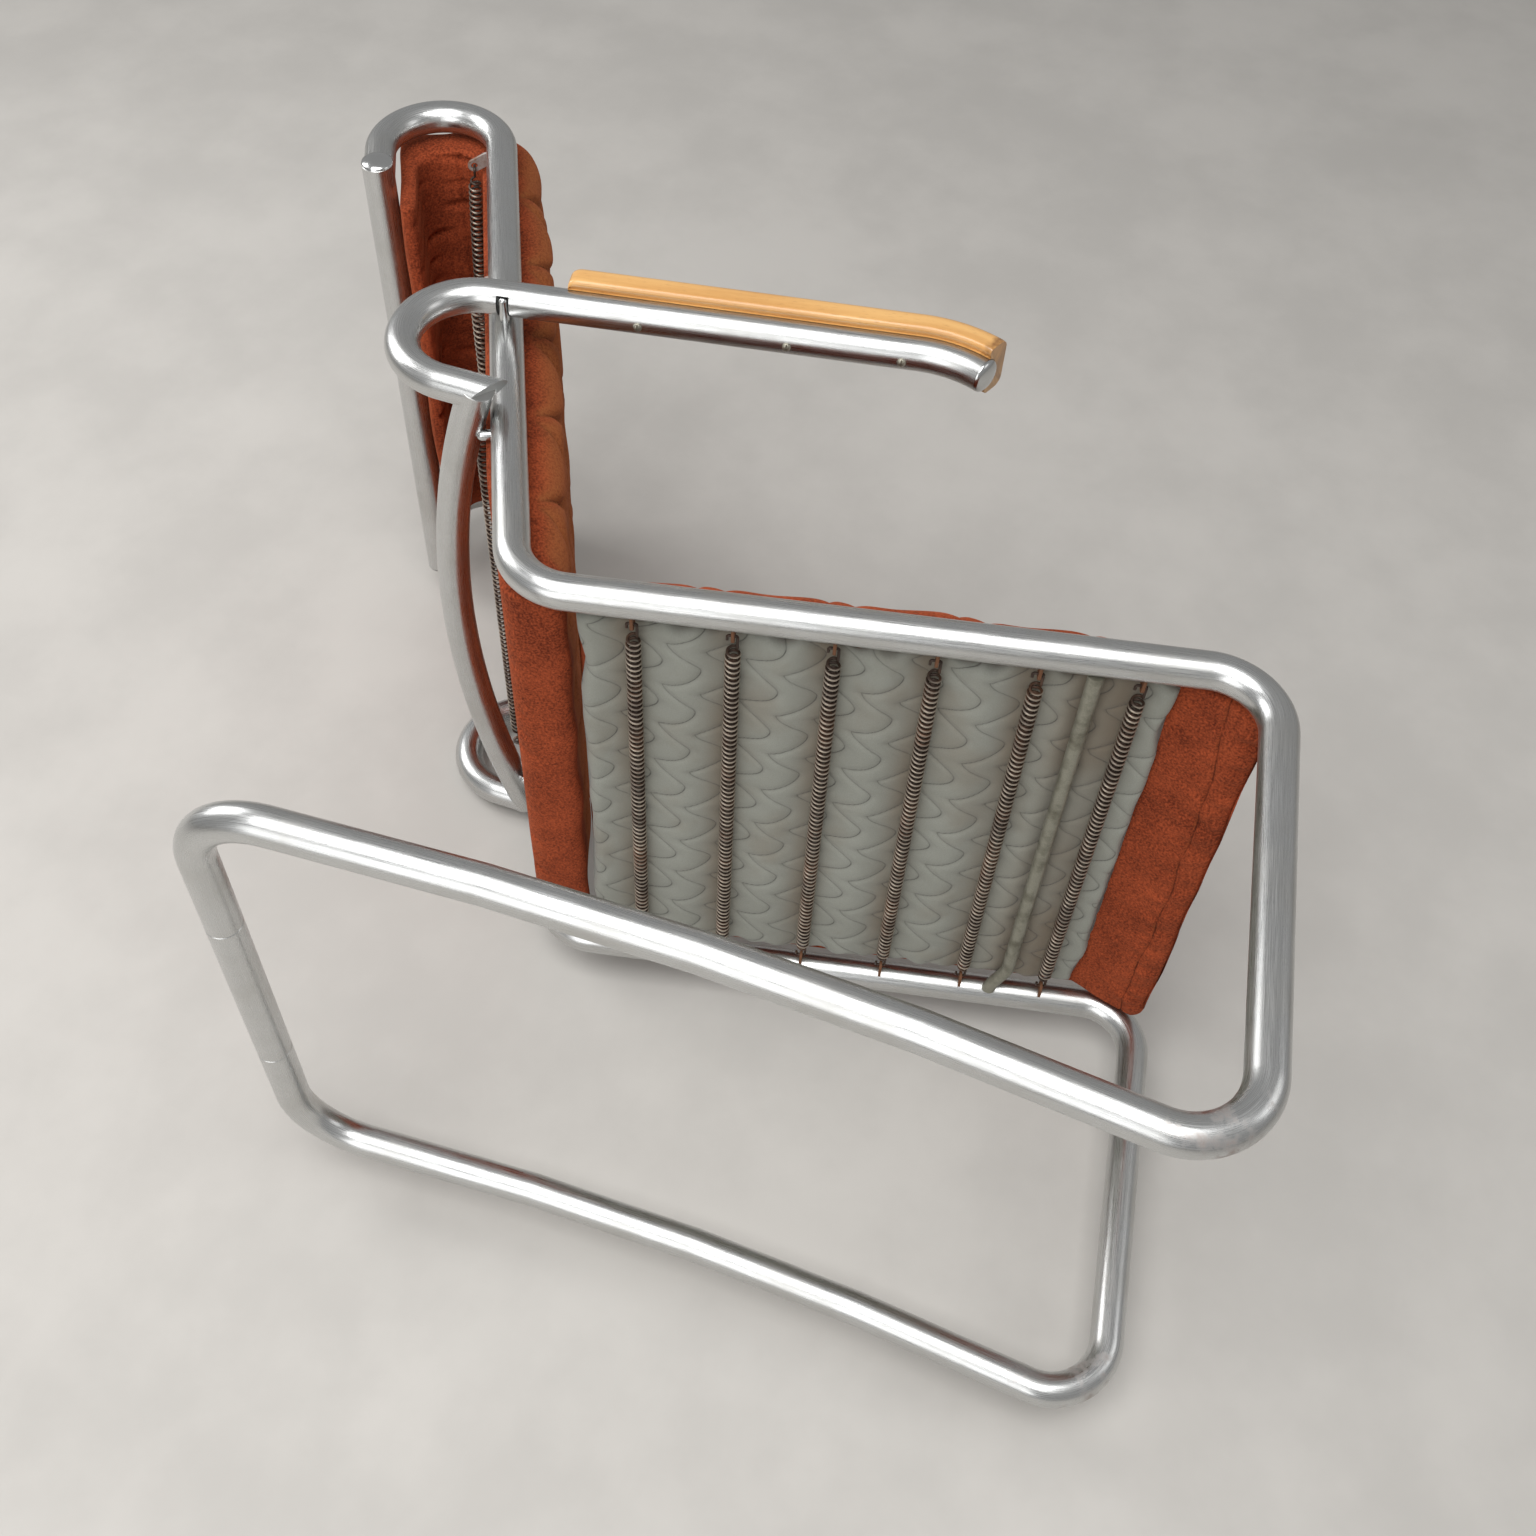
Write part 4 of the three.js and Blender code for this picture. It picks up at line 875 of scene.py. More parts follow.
@dataclass(frozen=True)
class LiningCloth(Finish):
    """Grey lining, quilted with sewn waves whose stitching sinks into the cloth, with painted crease shade
    along each line and its valley.
    """

    deep: Colour = screen(120, 120, 110)
    lit: Colour = screen(152, 154, 146)
    # Colour of the stitching and of the painted shade in its crease and valley.
    thread_and_crease_shade: Colour = screen(60, 58, 52)
    # Colour of the random stains, also used for the painted shade behind the springs and under the strut.
    stain: Colour = screen(112, 98, 80)

    def inputs(self, graph: Graph, patterns: Patterns) -> Inputs:
        """Cloth grain in two tones, random stains, sewn waves darkened with painted crease shade, and painted
        shade behind the springs and under the strut where the wear attribute says so.
        """
        place = graph.place()
        nap = graph.pattern(patterns.nap, Vector=place, Tuft=1500.0, Drift=10.0, Dark=self.deep,
                            Light=self.lit, Contrast=1.5)
        sewn = graph.pattern(patterns.stitch, Vector=graph.surface(), Width=0.0008)
        stains = graph.window(graph.noise(place, 11.0, 4.0), 0.48, 0.72, 0.0, 0.4)
        # Painted shade behind the springs and under the strut, placed by the wear attribute.
        spring_shade = graph.times(graph.wear(), graph.window(graph.noise(place, 7.0), 0.3, 0.6, 0.45, 1.0))
        cloth = graph.mix(graph.math("MAXIMUM", stains, spring_shade), nap["Color"], self.stain)
        # Painted shade in the valley beside each sewn line.
        shaded = graph.mix(graph.times(sewn["Valley"], 0.15), cloth, self.thread_and_crease_shade)
        depth = graph.math("SUBTRACT", nap["Height"], graph.times(sewn["Line"], 3.0))
        return {
            # Sewn line: stitching with painted crease shade, weaker on the rising limbs.
            "Base Color": graph.mix(graph.times(sewn["Line"], 0.85), shaded, self.thread_and_crease_shade),
            "Roughness": 0.8,
            "Sheen Weight": 0.12,
            "Normal": graph.relief(depth, 0.35, 0.0004),
        }


class Workshop:
    """Makes each finish once, and dresses every piece."""

    def __init__(self) -> None:
        """Makes the shared patterns."""
        self.patterns = Patterns()
        self.made: dict[str, bpy.types.Material] = {}

    def paint(self, piece: Piece, finish: Finish) -> None:
        """Makes a finish, made on first use, the only material of a piece, and reports the piece."""
        if finish.name not in self.made:
            self.made[finish.name] = finish.material(self.patterns)
        piece.data.materials.clear()
        piece.data.materials.append(self.made[finish.name])
        log.info("%s: %d faces in %s", piece.name, len(piece.data.polygons), finish.name)

    def dress(self, piece: Piece, finish: Finish, node: str) -> Piece:
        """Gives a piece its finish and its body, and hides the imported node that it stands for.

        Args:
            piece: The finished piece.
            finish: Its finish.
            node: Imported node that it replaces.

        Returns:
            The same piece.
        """
        self.paint(piece, finish)
        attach(piece, "root")
        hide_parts(node)
        return piece


CHROME = ChromePlate("chrome_plate", "chrome_tube")
FITTING_CHROME = ChromePlate("fitting_chrome", "bright_fittings", polish=0.13, dullness=0.26)
WIRE = SpringWire("rusted_wire", "spring_wire")
STRUT_STEEL = DullSteel("dull_strut_steel", "strut_steel")
SCREW_STEEL = DullSteel("screw_steel", "screw_steel", metal=screen(168, 164, 150), metallic=0.8,
                        rough=(0.27, 0.47))
BEECH = LacqueredBeech("lacquered_beech", "arm_wood")
PLUSH = Plush("rust_plush", "plush_cover")
LINING = LiningCloth("grey_lining", "lining_cloth")


# Steel tube


TUBE_SIDES = 40
END_CHAMFER = 0.03
POLE = 0.01


def tube_skin(skin: Skin, path: Path, radius: float, wear: Array | None = None) -> None:
    """Adds a tube with softened end edges to a skin.

    At both ends the radius drops by the chamfer, a share of the radius, over the same length.

    Args:
        skin: Skin that it goes to.
        path: Centre line.
        radius: Outer radius.
        wear: Wear at each station. None: zero.
    """
    chamfer = radius * END_CHAMFER
    points, tangents = [np.pad(rows, ((1, 1), (0, 0)), mode="edge") for rows in (path.points, path.tangents)]
    points[1] += tangents[0] * chamfer
    points[-2] -= tangents[-1] * chamfer
    radii = np.full(len(points), radius)
    radii[[0, -1]] -= chamfer
    mark = 0.0 if wear is None else np.pad(wear, 1, mode="edge")[:, None]
    skin.add(ring_sweep(Path(points, tangents), radii, TUBE_SIDES, UP), capped=True, mark=mark)


@dataclass
class SpringTab:
    """Flat tab with a hole, welded to the tube, that a spring hooks into."""

    thickness: float = 0.0025
    half_width: float = 0.006
    hole_radius: float = 0.003
    root: float = 0.003
    edge: float = 0.0003
    points: int = 48

    def grid(self, hole: Array, reach: Array, side: Array, length: float) -> Array:
        """Closed ring of the tab round its hole.

        The outline is a half circle outwards and a shank back to the root, which lies at
        min(half width / |sin a|, (length + root) / |cos a|) from the hole.

        Args:
            hole: Middle of the hole.
            reach: Direction from the root to the hole.
            side: Direction of the thickness.
            length: Distance from the tube's surface to the hole.

        Returns:
            Points as (8 rings, points, 3), which wrap both ways.
        """
        angle = circle(self.points)
        cosine, sine = np.cos(angle), np.sin(angle)
        shank = np.minimum(self.half_width / np.maximum(np.abs(sine), 1e-6),
                           (length + self.root) / np.maximum(-cosine, 1e-6))
        outer = np.where(cosine > 0, self.half_width, shank)
        half, soft, bore = self.thickness / 2, self.edge, self.hole_radius
        rings = [(outer - soft, half), (outer, half - soft), (outer, soft - half), (outer - soft, -half),
                 (bore + soft, -half), (bore, soft - half), (bore, half - soft), (bore + soft, half)]
        across = np.cross(side, reach)
        spoke = cosine[:, None] * reach + sine[:, None] * across
        return np.stack([hole + np.broadcast_to(radius, angle.shape)[:, None] * spoke + lift * side
                         for radius, lift in rings])


@dataclass
class SpringRows:
    """The two rows of springs: where each lies, and where the tabs that hold them stand."""

    layout: Layout
    seat_count: int = 6
    seat_start: float = 0.0875
    seat_pitch: float = 0.0745
    seat_drop: float = 0.002
    seat_reach: float = 0.022
    back_heights: tuple[float, ...] = (0.2233, 0.3595, 0.540)
    back_setback: float = 0.026
    back_reach: float = 0.014
    tab: SpringTab = field(default_factory=SpringTab)

    def seat_station(self, i: int) -> float:
        """Station of a seat spring, counted from the rear."""
        return self.seat_start + i * self.seat_pitch

    def seat_tab(self, side: Side, i: int) -> Array:
        """Grid of a tab on the inner side of the seat rail."""
        x = side.value * (self.layout.half_spacing - self.seat_reach)
        hole = self.layout.seat(x, self.seat_station(i), -self.seat_drop)
        length = self.seat_reach - self.layout.tube_radius
        return self.tab.grid(hole, -side.value * ACROSS, along(self.layout.forward), length)

    def back_tab(self, side: Side, height: float) -> Array:
        """Grid of a tab on the inner rear side of the upright."""
        plan = self.layout
        centre = plan.back(side.value * plan.half_spacing, height, 0.0)
        hole = plan.back(side.value * (plan.half_spacing - self.back_reach), height, self.back_setback)
        length = math.dist(hole, centre) - plan.tube_radius
        return self.tab.grid(hole, unit(hole - centre), along(plan.back_up), length)


@dataclass
class SideFrames:
    """The two side frames: one bent tube each, with the spring tabs welded on."""

    layout: Layout
    rows: SpringRows
    toe_rust: float = 0.16
    damp_wear: float = 0.25
    damp_height: float = 0.03
    damp_fade: float = 0.06
    seat_tab_rust: float = 2.4
    back_tab_rust: float = 1.6

    def floor_corner(self) -> Array:
        """Front floor bend's corner, lowered until its arc lies level with the rear floor rail."""
        plan = self.layout
        corner = np.zeros(2)
        for _ in range(6):
            leg = math.atan2(plan.front_corner[1] - corner[1], plan.front_corner[0])
            slope = math.atan2(self.apex() - corner[1] / 2, plan.runner_length / 2)
            reach = plan.floor_bend / math.sin((leg - slope) / 2)
            corner[1] = plan.floor_bend - reach * math.sin((leg + slope) / 2)
        return corner

    def apex(self) -> float:
        """Height of the corner that a wide bend turns into the runner's bow."""
        half = self.layout.runner_length / 2
        bowed = half - self.layout.runner_straight
        return self.layout.runner_rise * half / (half - bowed / 2)

    def path(self, side: Side) -> Path:
        """Centre line from the rear floor joint, along the floor, up, back, up the back and over."""
        plan = self.layout
        x = side.value * plan.half_spacing
        corner, half = self.floor_corner(), plan.runner_length / 2
        bow = (half - plan.runner_straight) / (self.apex() / half)
        top = plan.upright_length + plan.hook_radius
        return rounded_path([
            Corner(plan.place(side.value * plan.floor_joint, [plan.runner_length, 0.0])),
            Corner(plan.place(x, [plan.runner_length, 0.0]), plan.rear_bend),
            Corner(plan.place(x, [half, self.apex() + corner[1] / 2]), bow),
            Corner(plan.place(x, corner), plan.floor_bend),
            Corner(plan.seat(x, plan.seat_length, 0.0), plan.front_bend),
            Corner(plan.seat(x, 0.0, 0.0), plan.seat_bend),
            Corner(plan.back(x, top, 0.0), plan.hook_radius),
            Corner(plan.back(x, top, 2 * plan.hook_radius), plan.hook_radius),
            Corner(plan.back(x, plan.upright_length - plan.hook_leg, 2 * plan.hook_radius)),
        ])

    def wear(self, points: Array) -> Array:
        """Wear is highest at the front floor bend, with a little all along the floor."""
        toe = self.layout.place(0.0, self.floor_corner())
        away = np.linalg.norm(points[:, 1:] - toe[1:], axis=1)
        damp = ease(1.0, 0.0, (points[:, 2] - self.damp_height) / self.damp_fade)
        return ease(1.0, 0.0, away / self.toe_rust) + self.damp_wear * damp

    def build(self, shop: Workshop) -> None:
        """Builds both frames."""
        for side in Side:
            path = self.path(side)
            skin = Skin()
            tube_skin(skin, path, self.layout.tube_radius, self.wear(path.points))
            for i in range(self.rows.seat_count):
                skin.add(self.rows.seat_tab(side, i), ringed=True, mark=self.seat_tab_rust)
            for height in self.rows.back_heights:
                skin.add(self.rows.back_tab(side, height), ringed=True, mark=self.back_tab_rust)
            name = f"side_frame_{side.word}"
            shop.dress(skin.build(f"bent_{name}"), CHROME, name)


def dome_profile(radius: float, height: float, steps: int = 10, skirt: float = 0.0) -> Array:
    """Rows of (radius, height) up a dome: radius * cos a and height * sin a.

    A skirt below zero is 2 % narrower. The pole is a face of a hundredth of the radius.
    """
    angle = np.linspace(0.0, math.pi / 2, steps)
    dome = np.stack([radius * np.cos(angle), height * np.sin(angle)], axis=1)
    dome[-1, 0] = radius * POLE
    return np.concatenate([[[radius * 0.98, -skirt]], dome]) if skirt else dome


def build_cap(shop: Workshop, plan: Layout, tip: Array, out: Array, hint: Array, name: str,
              node: str) -> None:
    """Builds the domed cap of a tube's end, a fitting gap beyond it.

    Args:
        shop: Workshop that dresses it.
        plan: Layout of the chair.
        tip: Middle of the tube's end.
        out: Direction in which the tube ends.
        hint: Direction where the dome's turning starts.
        name: Name of the piece.
        node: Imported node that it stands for.
    """
    profile = dome_profile(plan.tube_radius, plan.cap_dome)
    grid = turned_profile(profile, TUBE_SIDES, tip + out * plan.fit_gap, out, hint)
    shop.dress(Skin.of(grid).build(name), FITTING_CHROME, node)


@dataclass
class CrossTubes:
    """Floor rail between the frames, rail under the hooks with its plugs, and the seat's strut."""

    layout: Layout
    strut_drop: float = 0.006
    strut_radius: float = 0.006
    strut_weld: float = 0.0008
    strut_flat: float = 0.026
    strut_squash: float = 0.94
    strut_bend: float = 0.012
    bend_length: float = 0.042
    strut_stations: int = 121
    strut_sides: int = 28
    step: float = 0.01

    def rail(self, shop: Workshop, name: str, left: Array, right: Array) -> None:
        """Builds a straight rail of the frame's tube."""
        skin = Skin()
        path = rounded_path([Corner(left), Corner(right)], run_step=self.step)
        tube_skin(skin, path, self.layout.tube_radius)
        shop.dress(skin.build(f"round_{name}"), CHROME, name)

    def rails(self, shop: Workshop) -> None:
        """Builds the floor rail, a gap short of both frames, and the rail under the hooks with its plugs."""
        plan = self.layout
        half = plan.floor_joint - plan.fit_gap
        self.rail(shop, "rear_floor_rail", *[plan.place(x, [plan.runner_length, 0.0]) for x in (-half, half)])
        half = plan.half_spacing + plan.tube_radius
        ends = {side: plan.back(side.value * half, plan.upright_length - plan.hook_leg, 2 * plan.hook_radius)
                for side in Side}
        self.rail(shop, "top_cross_rail", ends[Side.RIGHT], ends[Side.LEFT])
        for side, at in ends.items():
            build_cap(shop, plan, at, side.value * ACROSS, UP, f"domed_plug_{side.word}",
                      f"cross_rail_plug_{side.word}")

    def strut(self, shop: Workshop) -> None:
        """Builds the strut: a bar whose section is squashed to an ellipse towards its ends.

        Half width along the seat is radius / s and half height radius * s, where s eases from 1 to
        the squash over the flat's length. Its left end is bent to the rear.
        """
        plan = self.layout
        half = plan.half_spacing - plan.tube_radius + self.strut_weld
        x = np.linspace(-half, half, self.strut_stations)
        angle = circle(self.strut_sides)
        squash = ease(self.strut_squash, 1.0, (half - np.abs(x)) / self.strut_flat)[:, None]
        past = (x[:, None] - half + self.bend_length) / self.bend_length
        bend = self.strut_bend * ease(0.0, 1.0, past)
        station = plan.strut_station - bend + self.strut_radius / squash * np.cos(angle)
        level = self.strut_radius * squash * np.sin(angle) - self.strut_drop
        bar = Skin.of(plan.seat(x[:, None], station, level)).build("pinched_strut")
        shop.dress(bar, STRUT_STEEL, "seat_strut")

    def build(self, shop: Workshop) -> None:
        """Builds the rails, the plugs and the strut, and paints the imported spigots, which stay."""
        self.rails(shop)
        self.strut(shop)
        for side in Side:
            shop.paint(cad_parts[f"floor_rail_spigot_{side.word}"], STRUT_STEEL)


@dataclass
class Springs:
    """Closely wound extension springs, with a hook at each end through its tab."""

    layout: Layout
    rows: SpringRows
    wire_radius: float = 0.0012
    coil_radius: float = 0.00505
    pitch: float = 0.00585
    end_pitch: float = 0.0065
    bow: float = 0.008
    end_turns: float = 1.0
    lead: float = 0.013
    standoff: float = 0.0032
    tip: float = 0.0046
    hook_bend: float = 0.0016
    hook_tail: float = 0.35
    wire_inset: float = 0.0013
    turn_steps: int = 24
    hook_step: float = 0.002
    hook_turn: float = 0.25
    sides: int = 9

    def wire(self, hole_x: float) -> tuple[Path, Array]:
        """Centre line of one spring in (across, side, depth), and the share of coil at each station.

        The coil is (x, r cos a, r sin a). Over the last turn of each end the radius eases to the
        hook's standoff and the pitch widens. The hook runs out beside the tab, turns through its
        hole and ends a share of the lead further back.

        Args:
            hole_x: Distance of the tab holes from the middle.

        Returns:
            The path, and 1 at stations of the coil and 0 on the hooks.
        """
        wire_x = hole_x - self.wire_inset
        coil_x = wire_x - self.lead
        main = coil_x - self.end_turns * self.end_pitch
        half_turns = round(main / self.pitch)
        total = 2 * (half_turns + int(self.end_turns))
        angle = np.linspace(0.0, 2 * math.pi * total, total * self.turn_steps + 1)
        turns = np.abs(angle / (2 * math.pi) - total / 2)
        near = np.minimum(turns, half_turns) * main / half_turns
        beyond = np.maximum(turns - half_turns, 0.0)
        x = np.sign(angle - math.pi * total) * (near + beyond * self.end_pitch)
        radius = ease(self.coil_radius, self.standoff, beyond / self.end_turns)
        coil = np.stack([x, radius * np.cos(angle), radius * np.sin(angle)], axis=1)
        hook = rounded_path([
            Corner(np.array([-coil_x, self.standoff, 0.0])),
            Corner(np.array([-wire_x, self.standoff, 0.0]), self.hook_bend),
            Corner(np.array([-wire_x, -self.tip, 0.0]), self.hook_bend),
            Corner(np.array([-wire_x + self.lead * self.hook_tail, -self.tip, 0.0])),
        ], run_step=self.hook_step, bend_step=self.hook_turn)
        first = hook.points[::-1]
        last = first * np.array([-1.0, 1.0, 1.0])
        points = np.concatenate([first[:-1], coil, last[::-1][1:]])
        return Path(points, unit(np.gradient(points, axis=0))), np.pad(np.ones(len(coil)), len(first) - 1)

    def spring(self, shop: Workshop, name: str, hole_x: float, middle: Array, axes: list[Array],
               bow: float = 0.0) -> None:
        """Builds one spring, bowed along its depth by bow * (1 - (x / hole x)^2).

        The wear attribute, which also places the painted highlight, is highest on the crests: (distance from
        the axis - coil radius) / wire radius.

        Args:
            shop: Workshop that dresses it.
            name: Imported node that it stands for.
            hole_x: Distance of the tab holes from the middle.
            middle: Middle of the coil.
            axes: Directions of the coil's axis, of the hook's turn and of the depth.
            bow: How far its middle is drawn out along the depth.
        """
        path, in_coil = self.wire(hole_x)
        rings = ring_sweep(path, self.wire_radius, self.sides, UP)
        out = np.linalg.norm(rings[..., 1:], axis=-1)
        crest = np.clip((out - self.coil_radius) / self.wire_radius, 0.0, 1.0) * in_coil[:, None]
        drawn = bow * np.clip(1.0 - (rings[..., :1] / hole_x) ** 2, 0.0, 1.0) * UP
        placed = middle + (rings + drawn) @ np.stack(axes)
        shop.dress(Skin.of(placed, crest).build(f"wound_{name}"), WIRE, name)

    def build(self, shop: Workshop) -> None:
        """Builds the seat's and the back's springs."""
        plan, rows = self.layout, self.rows
        for i in range(rows.seat_count):
            middle = plan.seat(0.0, rows.seat_station(i), -rows.seat_drop)
            self.spring(shop, f"seat_spring_{i + 1}", plan.half_spacing - rows.seat_reach, middle,
                        [ACROSS, along(plan.forward), along(plan.seat_up)])
        for i, height in enumerate(rows.back_heights):
            middle = plan.back(0.0, height, rows.back_setback)
            bow = self.bow if height == rows.back_heights[-1] else 0.0
            self.spring(shop, f"back_spring_{i + 1}", plan.half_spacing - rows.back_reach, middle,
                        [ACROSS, along(plan.back_up), along(plan.back_rear)], bow)


@dataclass
class Arms:
    """Arm tubes with their caps, pins and pads, and the brace behind the back with its studs."""

    layout: Layout
    straight: float = 0.339
    drop_radius: float = 0.100
    drop: float = math.radians(33)
    loop_radius: float = 0.055
    loop_setback: float = 0.001
    leg_setback: float = 0.003
    leg_mitre: float = math.radians(44)
    mitre_fade: float = 2.2
    brace_clearance: float = 0.003
    brace_bow: float = 0.036
    brace_stations: int = 90
    pin_radius: float = 0.004
    pin_drop: float = 0.010
    pin_root: float = 0.010
    pin_reach: float = 0.0225
    notch_radius: float = 0.0052
    notch_depth: float = 0.012
    notch_span: Pair = (-0.02, 0.0095)
    stud_radius: float = 0.0045
    stud_inset: float = 0.012
    stud_drop: float = 0.009
    stud_setbacks: Pair = (0.006, 0.026)
    pad_width: float = 0.045
    pad_underside: float = 0.004
    pad_top: float = 0.026
    pad_edge: float = 0.008
    pad_lower_edge: float = 0.004
    pad_rim: float = 0.0002
    pad_wall: float = 0.001
    pad_rear: float = 0.053
    pad_nose: float = 0.010
    nose_size: float = 0.52
    tip_size: float = 0.985
    nose_rows: int = 14
    run_rows: int = 60
    drop_rows: int = 22
    worn_rows: Pair = (10.0, 8.0)
    worn_butt: float = 0.6
    worn_ends: float = 0.9
    screw_reaches: tuple[float, ...] = (0.1135, 0.2345, 0.327)
    screw_radius: float = 0.00375
    screw_height: float = 0.0026
    screw_skirt: float = 0.002
    slot_half: float = 0.0005
    slot_floor: float = 0.0012

    def line_z(self, y: float) -> float:
        """Height of the arm's line in the side view."""
        start = self.layout.crossing()
        return start[1] - (y - start[0]) * math.tan(self.layout.arm_rise)

    @property
    def loop_y(self) -> float:
        """Middle of the rear loop in the side view."""
        return self.layout.crossing()[0] + self.loop_setback

    @property
    def leg_z(self) -> float:
        """Height of the level lower leg."""
        return self.line_z(self.loop_y) - self.loop_radius * (1 + 1 / math.cos(self.layout.arm_rise))

    def path(self, side: Side) -> Path:
        """Centre line from the lower leg round the loop and along the arm to its drooping tip."""
        plan = self.layout
        x = side.value * plan.arm_x
        tangent = self.drop_radius * math.tan(self.drop / 2)
        corner = plan.arm(x, self.straight + tangent, 0.0)
        rear = self.loop_y + self.loop_radius
        return rounded_path([
            Corner(plan.place(x, [plan.upright_y(self.leg_z) + self.leg_setback, self.leg_z])),
            Corner(plan.place(x, [rear, self.leg_z]), self.loop_radius),
            Corner(plan.place(x, [rear, self.line_z(rear)]), self.loop_radius),
            Corner(corner, self.drop_radius),
            Corner(corner + self.dip() * tangent),
        ])

    def dip(self) -> Array:
        """Direction of the arm's drooping tip."""
        plan = self.layout
        return along(plan.arm_forward * math.cos(self.drop) - plan.arm_up * math.sin(self.drop))

    def tube(self, shop: Workshop, side: Side) -> None:
        """Builds one arm tube: its lower end is cut at a mitre, with the outer upper side the longest.

        Points are slid along the leg by (distance to that side) * tan(mitre), which fades out over
        a few times the mitre's length.
        """
        plan = self.layout
        path = self.path(side)
        grid = ring_sweep(path, plan.tube_radius, TUBE_SIDES, ACROSS)
        longest = (side.value * ACROSS + UP) / math.sqrt(2)
        cut = (plan.tube_radius - (grid - path.points[:, None]) @ longest) * math.tan(self.leg_mitre)
        length = 2 * plan.tube_radius * math.tan(self.leg_mitre)
        fade = ease(1.0, 0.0, run_length(path.points) / (self.mitre_fade * length))[:, None]
        grid = grid + (cut * fade)[..., None] * along([1.0, 0.0])
        piece = Skin.of(grid).build(f"looped_arm_{side.word}")
        cut_away(piece, Skin.of(self.notch_grid(side)).build("notch"))
        shop.dress(piece, CHROME, f"arm_frame_{side.word}")

    def notch_grid(self, side: Side) -> Array:
        """Arch across the arm tube that the pin lies in: a half circle over straight sides, open below."""
        plan = self.layout
        angle = np.linspace(0.0, math.pi, 25)
        reach = np.concatenate([self.notch_radius * np.cos(angle), [-self.notch_radius, self.notch_radius]])
        level = np.concatenate([self.notch_radius * np.sin(angle), [-self.notch_depth] * 2])
        across = (plan.arm_x + np.array(self.notch_span))[:, None, None] * side.value * ACROSS
        arch = reach[:, None] * along(plan.arm_forward) + level[:, None] * along(plan.arm_up)
        return self.pin_point(0.0) + across + arch

    def bolt(self, shop: Workshop, start: Array, stop: Array, radius: float, node: str) -> None:
        """Builds a round-ended bolt: its radius falls as a quarter circle towards both ends."""
        length = math.dist(start, stop)
        angle = np.linspace(0.0, math.pi / 2, 7)
        low = np.stack([radius * (np.sin(angle) + POLE), radius * (1 - np.cos(angle))], axis=1)
        high = np.stack([low[::-1, 0], length - low[::-1, 1]], axis=1)
        grid = turned_profile(np.concatenate([low, high]), 24, start, stop - start, along([0.3, 1.0]))
        shop.dress(Skin.of(grid).build(f"round_{node}"), FITTING_CHROME, node)

    def pin_point(self, x: float) -> Array:
        """Point on the axis of the arm's pin."""
        return self.layout.back(x, self.layout.arm_crossing - self.pin_drop, 0.0)

    def fasteners(self, shop: Workshop, side: Side) -> None:
        """Builds the arm's pin, the brace's stud and the pad's screws."""
        plan = self.layout
        surface = plan.half_spacing + plan.tube_radius
        ends = [self.pin_point(side.value * x) for x in (surface - self.pin_root, surface + self.pin_reach)]
        self.bolt(shop, *ends, self.pin_radius, f"arm_pin_{side.word}")
        x = side.value * (plan.half_spacing - self.stud_inset)
        pass_by = np.subtract([self.brace_y, self.leg_z], plan.rear_corner)
        height = pass_by @ plan.back_up - self.stud_drop
        ends = [plan.back(x, height, setback) for setback in self.stud_setbacks]
        self.bolt(shop, *ends, self.stud_radius, f"brace_stud_{side.word}")
        for number, reach in enumerate(self.screw_reaches, 1):
            self.screw(shop, side, reach, number)

    def screw(self, shop: Workshop, side: Side, reach: float, number: int) -> None:
        """Builds a domed screw head; within half the slot's width of its middle line it sinks to a floor."""
        plan = self.layout
        down = -along(plan.arm_up)
        at = plan.arm(side.value * plan.arm_x, reach, -plan.tube_radius)
        profile = dome_profile(self.screw_radius, self.screw_height, steps=12, skirt=self.screw_skirt)
        grid = turned_profile(profile, 48, at, down, ACROSS)
        offset = (grid - at) @ along(plan.arm_forward)
        above = np.maximum((grid - at) @ down - self.slot_floor, 0.0)
        grid = grid - np.where(np.abs(offset) < self.slot_half, above, 0.0)[..., None] * down
        node = f"arm_pad_screw_{side.word}_{number}"
        shop.dress(Skin.of(grid).build(f"slotted_{node}", sharp_degrees=30), SCREW_STEEL, node)

    @property
    def brace_y(self) -> float:
        """Place of the brace behind the uprights, in the side view."""
        plan = self.layout
        gap = (2 * plan.tube_radius + self.brace_clearance) / plan.back_rear[0]
        return plan.upright_y(self.leg_z) + gap

    def brace(self, shop: Workshop) -> None:
        """Builds the bowed brace: an arc of radius (half^2 + bow^2) / (2 bow) through both passes."""
        plan = self.layout
        radius = (plan.half_spacing ** 2 + self.brace_bow ** 2) / (2 * self.brace_bow)
        reach = math.asin((plan.arm_x + plan.tube_radius / 3) / radius)
        angle = np.linspace(-reach, reach, self.brace_stations)
        centre = self.brace_y + self.brace_bow - radius
        flat = np.stack([centre + radius * np.cos(angle), np.full_like(angle, self.leg_z)], axis=1)
        points = plan.place(radius * np.sin(angle), flat)
        tangents = np.stack([np.cos(angle), -np.sin(angle), np.zeros_like(angle)], axis=1)
        skin = Skin()
        tube_skin(skin, Path(points, tangents), plan.tube_radius)
        shop.dress(skin.build("bowed_back_brace"), CHROME, "back_brace")

